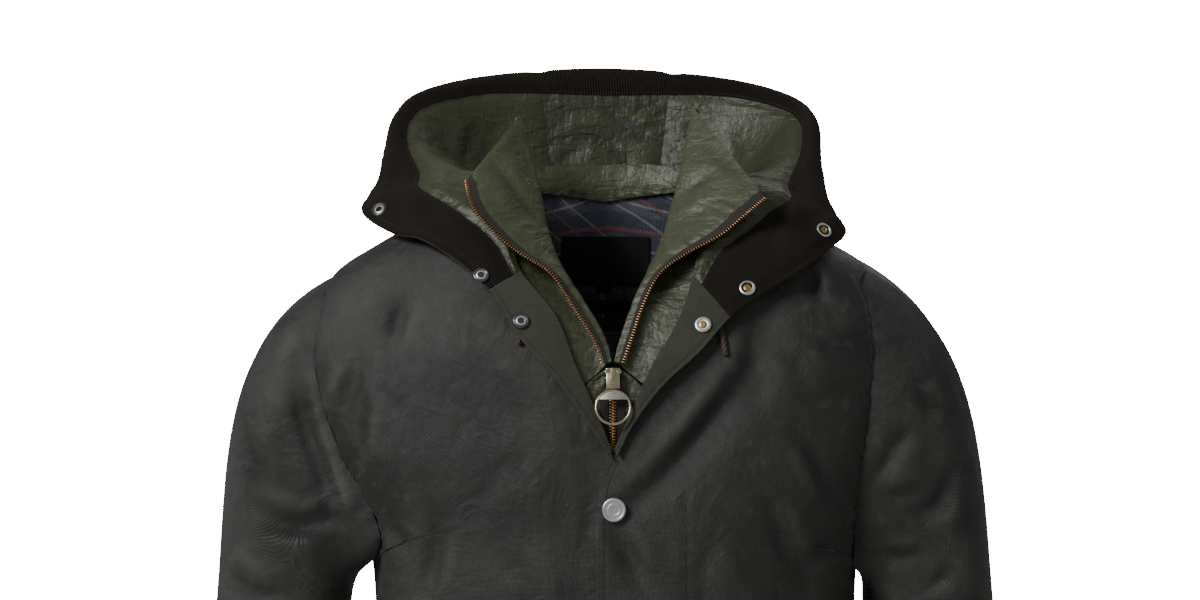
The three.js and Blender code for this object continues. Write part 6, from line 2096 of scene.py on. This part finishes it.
@dataclass
class Fasteners:
    """Flap studs and hood snaps, turned from their profiles."""

    stud_count: int = 4

    def put(self, piece: bpy.types.Object, node: str, finish: Finish, *nodes: str) -> None:
        """Seats a turned piece where the frame has it."""
        foot, axis = seat_of(node)
        turn = Vector((0, 0, 1)).rotation_difference(Vector(axis)).to_matrix().to_4x4()
        piece.data.transform(Matrix.Translation(Vector(foot)) @ turn)
        dress(piece, finish, "jacket", *nodes)

    def stud(self, number: int) -> None:
        """A flap stud: a rolled rim round a blank dished face."""
        node = f"stud_{number}"
        profile = ((0, 0), (9.8, 0), (10.4, 0.3), (10.8, 1.0), (10.75, 1.9), (10.4, 2.6), (9.9, 3.0),
                   (9.3, 3.15), (8.8, 3.0), (8.5, 2.6), (8.2, 2.45), (5.6, 2.5), (5.35, 2.62),
                   (5.1, 2.5), (2.5, 2.42), (0, 2.4))
        self.put(turned(f"flap_stud_{number}", profile, 64), node, NICKEL, node)

    def snap(self, side: Side, number: int) -> None:
        """A hood snap: a socket ring on the wearer's right, a stud with a gold post on the left."""
        node = f"snap_{side.word}_{number}"
        if side is Side.RIGHT:
            rim = ((0, 0), (7.2, 0), (7.5, 0.5), (7.4, 1.3), (6.9, 1.9), (6.2, 2.1), (5.5, 1.9),
                   (5.1, 1.2), (4.6, 0.9), (4.2, 1.3), (3.6, 1.6), (3.0, 1.3), (2.7, 0.6), (0, 0.5))
            self.put(turned(f"hood_snap_{side.word}_{number}", rim, 48), node, DARK_NICKEL, node)
            ring = ((5.0, 1.0), (4.5, 1.55), (4.0, 1.8), (3.4, 1.75), (3.0, 1.3), (3.2, 1.0), (5.0, 1.0))
            self.put(turned(f"hood_snap_spring_{side.word}_{number}", ring, 48), node, NICKEL)
            return
        rim = ((0, 0), (7.2, 0), (7.5, 0.6), (7.3, 1.4), (6.7, 1.9), (5.9, 2.0), (5.3, 1.6),
               (4.9, 0.9), (3.4, 0.7), (0, 0.7))
        self.put(turned(f"hood_snap_{side.word}_{number}", rim, 48), node, NICKEL, node)
        post = ((0, 0.6), (3.3, 0.7), (3.5, 1.2), (3.3, 1.7), (2.6, 2.05), (1.9, 2.1), (1.5, 1.7),
                (0, 1.6))
        self.put(turned(f"hood_snap_post_{side.word}_{number}", post, 40), node, GOLD)

    def build(self) -> None:
        """Makes all studs and snaps."""
        for number in range(1, self.stud_count + 1):
            self.stud(number)
        for side in Side:
            for number in (1, 2, 3):
                self.snap(side, number)
        LOG.info("fasteners: %d studs, 6 snaps", self.stud_count)


@dataclass
class NeckInside:
    """What shows inside the back neck: the check lining, label, size tab and hanger strip."""

    lining_lift: float = -WAX - SEAM
    patch_lift: float = -WAX - SEAM - LINING - SEAM - PATCH_CLEAR

    def lining(self) -> None:
        """Check lining, softly wadded."""
        low = ARMPIT_ROW + (1 - ARMPIT_ROW) * (4 / 12) ** 1.35
        high = ARMPIT_ROW + (1 - ARMPIT_ROW) * (11 / 12) ** 1.35
        at = np.linspace(low, lerp(high, 1.0, 0.8), 80)[:, None]
        v = np.linspace(7 / 22, 15 / 22, 100)[None, :]
        angle, z = back_places(at, v)
        wrapped = np.where(angle > math.pi, angle - 2 * math.pi, angle)
        normals = -torso_normal(wrapped, z)
        points = on_torso(wrapped, z, self.lining_lift - LINING)
        cloth = Cloth("back_neck_lining", points, normals)
        run, fall = cloth.along_edge(Edge.LAST_ROW), cloth.from_edge(Edge.LAST_ROW)
        cloth.move(0.7 * uneven(run + 0.35 * fall, 27, 0.4) * np.exp(-((fall / 55) ** 2)))
        cloth.pucker(Edge.LAST_ROW, 12, 0.8, 12, 1.9)
        cloth.build(LINING, CHECK, cloth.name, ("back",), "hung")

    def patch(self, name: str, centre: float, width: float, top: float, height: float,
              thick: float, sewing: Sewing) -> None:
        """A flat woven piece sewn on the lining."""
        cols, rows = max(int(width / 1.6), 8), max(int(height / 1.6), 6)
        x = (centre + width * (np.linspace(0, 1, cols) - 0.5) + 1e-6)[None, :]
        z = (top - height * np.linspace(0, 1, rows))[:, None]
        x, z = np.broadcast_arrays(x, z)
        angle = angle_of(x, z, True)
        angle = np.where(angle > math.pi, angle - 2 * math.pi, angle)
        points = on_torso(angle, z, self.patch_lift - thick)
        cloth = Cloth(name, points, -torso_normal(angle, z))
        cloth.move(0.25 * uneven(cloth.along_edge(Edge.FIRST_ROW), 23, 0.6)
                   * np.sin(math.pi * np.linspace(0, 1, rows))[:, None])
        for edge in Edge:
            sewing.sew(*cloth.inset(edge, 1.6))
        cloth.build(thick, LABEL, name, ("back_neck_lining",), "stretched")

    def build(self) -> None:
        """Makes the lining and what is sewn on it."""
        self.lining()
        sewing = Sewing("stitch_labels", THREAD_DARK, 2.4, 1.7, 0.35)
        self.patch("neck_label", 0, 83.7, -54.3, 46.4, 0.8, sewing)
        self.patch("size_tab", -1.6, 14.3, -54.3 - 46.4 - SEAM, 6.8, 0.6, sewing)
        self.patch("hanger_loop", 3, 54.4, -115, 12.5, 1.6, sewing)
        sewing.build()


@dataclass
class Drawcords:
    """The two free ends of the hood's drawcord, lying on the fronts below the lapels."""

    diameter: float = 5.0

    def end(self, side: Side, start: tuple[float, float], stop: tuple[float, float],
            length: float) -> None:
        """One braided end with a rounded tip.

        Args:
            side: Side of the wearer.
            start: Where it comes out from under the lapel, X and Z.
            stop: Its tip, X and Z.
            length: Its length in metres; not used.
        """
        t = np.linspace(0, 1, 40)
        x, z = lerp(start[0], stop[0], t), lerp(start[1], stop[1], t)
        x = x + 0.8 * np.sin(math.pi * t)
        radius = self.diameter / 2
        path = on_torso(angle_of(x, z), z, radius + SEAM + 0.2)
        run = np.concatenate([[0], np.cumsum(np.linalg.norm(np.diff(path, axis=0), axis=1))])
        tangent = unit(np.gradient(path, axis=0))
        across = unit(np.cross(tangent, [0, -1, 0]))
        over = np.cross(across, tangent)
        sides = 20
        turn = np.arange(sides) * 2 * math.pi / sides
        to_tip = np.minimum(run, run[-1] - run)
        round_off = np.sqrt(np.clip(1 - (1 - np.clip(to_tip / radius, 0, 1)) ** 2, 0.02, 1))
        braid = 1 + 0.05 * np.sin(3 * turn[None, :] + run[:, None] * 1.5)
        rings = path[:, None] + radius * round_off[:, None, None] * braid[..., None] * (
            across[:, None] * np.cos(turn)[None, :, None] + over[:, None] * np.sin(turn)[None, :, None])
        faces = [[i * sides + j, (i + 1) * sides + j, (i + 1) * sides + (j + 1) % sides,
                  i * sides + (j + 1) % sides] for i in range(len(t) - 1) for j in range(sides)]
        last = (len(t) - 1) * sides
        faces += [list(range(sides)), [last + j for j in reversed(range(sides))]]
        name = f"drawcord_{side.word}"
        piece = mesh_object(f"{name}_end", rings.reshape(-1, 3), faces)
        layer = piece.data.uv_layers.new(name="cloth")
        for loop in piece.data.loops:
            ring, spot = divmod(loop.vertex_index, sides)
            layer.data[loop.index].uv = (spot / sides * math.pi * self.diameter * MM, run[ring] * MM)
        select_only(piece)
        bpy.ops.object.shade_smooth_by_angle(angle=math.radians(60))
        dress(piece, BRAID, "jacket", name)
        LOG.info("%s: path %.1f mm", name, run[-1])

    def build(self) -> None:
        """Makes both ends."""
        self.end(Side.RIGHT, (-80, -124), (-77, -157), 0.035)
        self.end(Side.LEFT, (99, -128), (107.6, -167), 0.042)


@dataclass
class Studio:
    """Camera, floor and soft light."""

    lens: float = 96.78
    camera: tuple[float, float, float] = (-0.005, -3.0, -0.116)
    world_light: float = 0.24
    backdrop_light: float = 30.0
    floor_size: float = 17.0
    floor_z: float = -1.45

    def lamp(self, name: str, place: tuple[float, float, float], aim: tuple[float, float, float],
             size: float, power: float) -> None:
        """A soft square lamp that points at a place."""
        data = bpy.data.lights.new(name, "AREA")
        data.size, data.energy = size, power
        lamp = bpy.data.objects.new(name, data)
        bpy.context.scene.collection.objects.link(lamp)
        lamp.location = place
        lamp.rotation_euler = (Vector(aim) - Vector(place)).to_track_quat("-Z", "Y").to_euler()

    def build(self) -> None:
        """Makes the camera, the lamps, the world and the floor."""
        data = bpy.data.cameras.new("camera")
        data.lens, data.sensor_width, data.clip_end = self.lens, 36.0, 100.0
        camera = bpy.data.objects.new("camera", data)
        bpy.context.scene.collection.objects.link(camera)
        camera.location = self.camera
        camera.rotation_euler = (math.pi / 2, 0, 0)
        bpy.context.scene.camera = camera
        self.lamp("key_lamp", (-1.7, -1.7, 1.3), (-0.1, 0, -0.2), 0.9, 66)
        self.lamp("fill_lamp", (2.2, -2.2, 0.5), (0.1, 0, -0.3), 1.8, 2.5)
        self.lamp("back_lamp", (0.6, 2.4, 1.6), (0, 0, -0.1), 1.6, 9)
        world = bpy.data.worlds.new("studio")
        bpy.context.scene.world = world
        world.use_nodes = True
        tree = world.node_tree
        backdrop = tree.nodes["Background"]
        backdrop.inputs["Color"].default_value = (1, 1, 1, 1)
        ray = tree.nodes.new("ShaderNodeLightPath")
        level = tree.nodes.new("ShaderNodeMapRange")
        level.inputs["To Min"].default_value = self.world_light
        level.inputs["To Max"].default_value = self.backdrop_light
        tree.links.new(ray.outputs["Is Camera Ray"], level.inputs["Value"])
        tree.links.new(level.outputs["Result"], backdrop.inputs["Strength"])
        clear_selection()
        bpy.ops.mesh.primitive_plane_add(size=self.floor_size)
        floor = bpy.context.active_object
        floor.name = "studio_floor"
        floor.data.transform(Matrix.Translation((0, 0, self.floor_z)))
        floor.location = (0, 0, 0)
        floor.data.materials.append(Painted("floor_paint", "").material())


def main() -> None:
    """Builds the jacket and its studio."""
    Studio().build()
    Body().build()
    Sleeves().build()
    Hood().build()
    Collar().build()
    NeckInside().build()
    Zip().build()
    Fasteners().build()
    Drawcords().build()


if __name__ == "__main__":
    main()
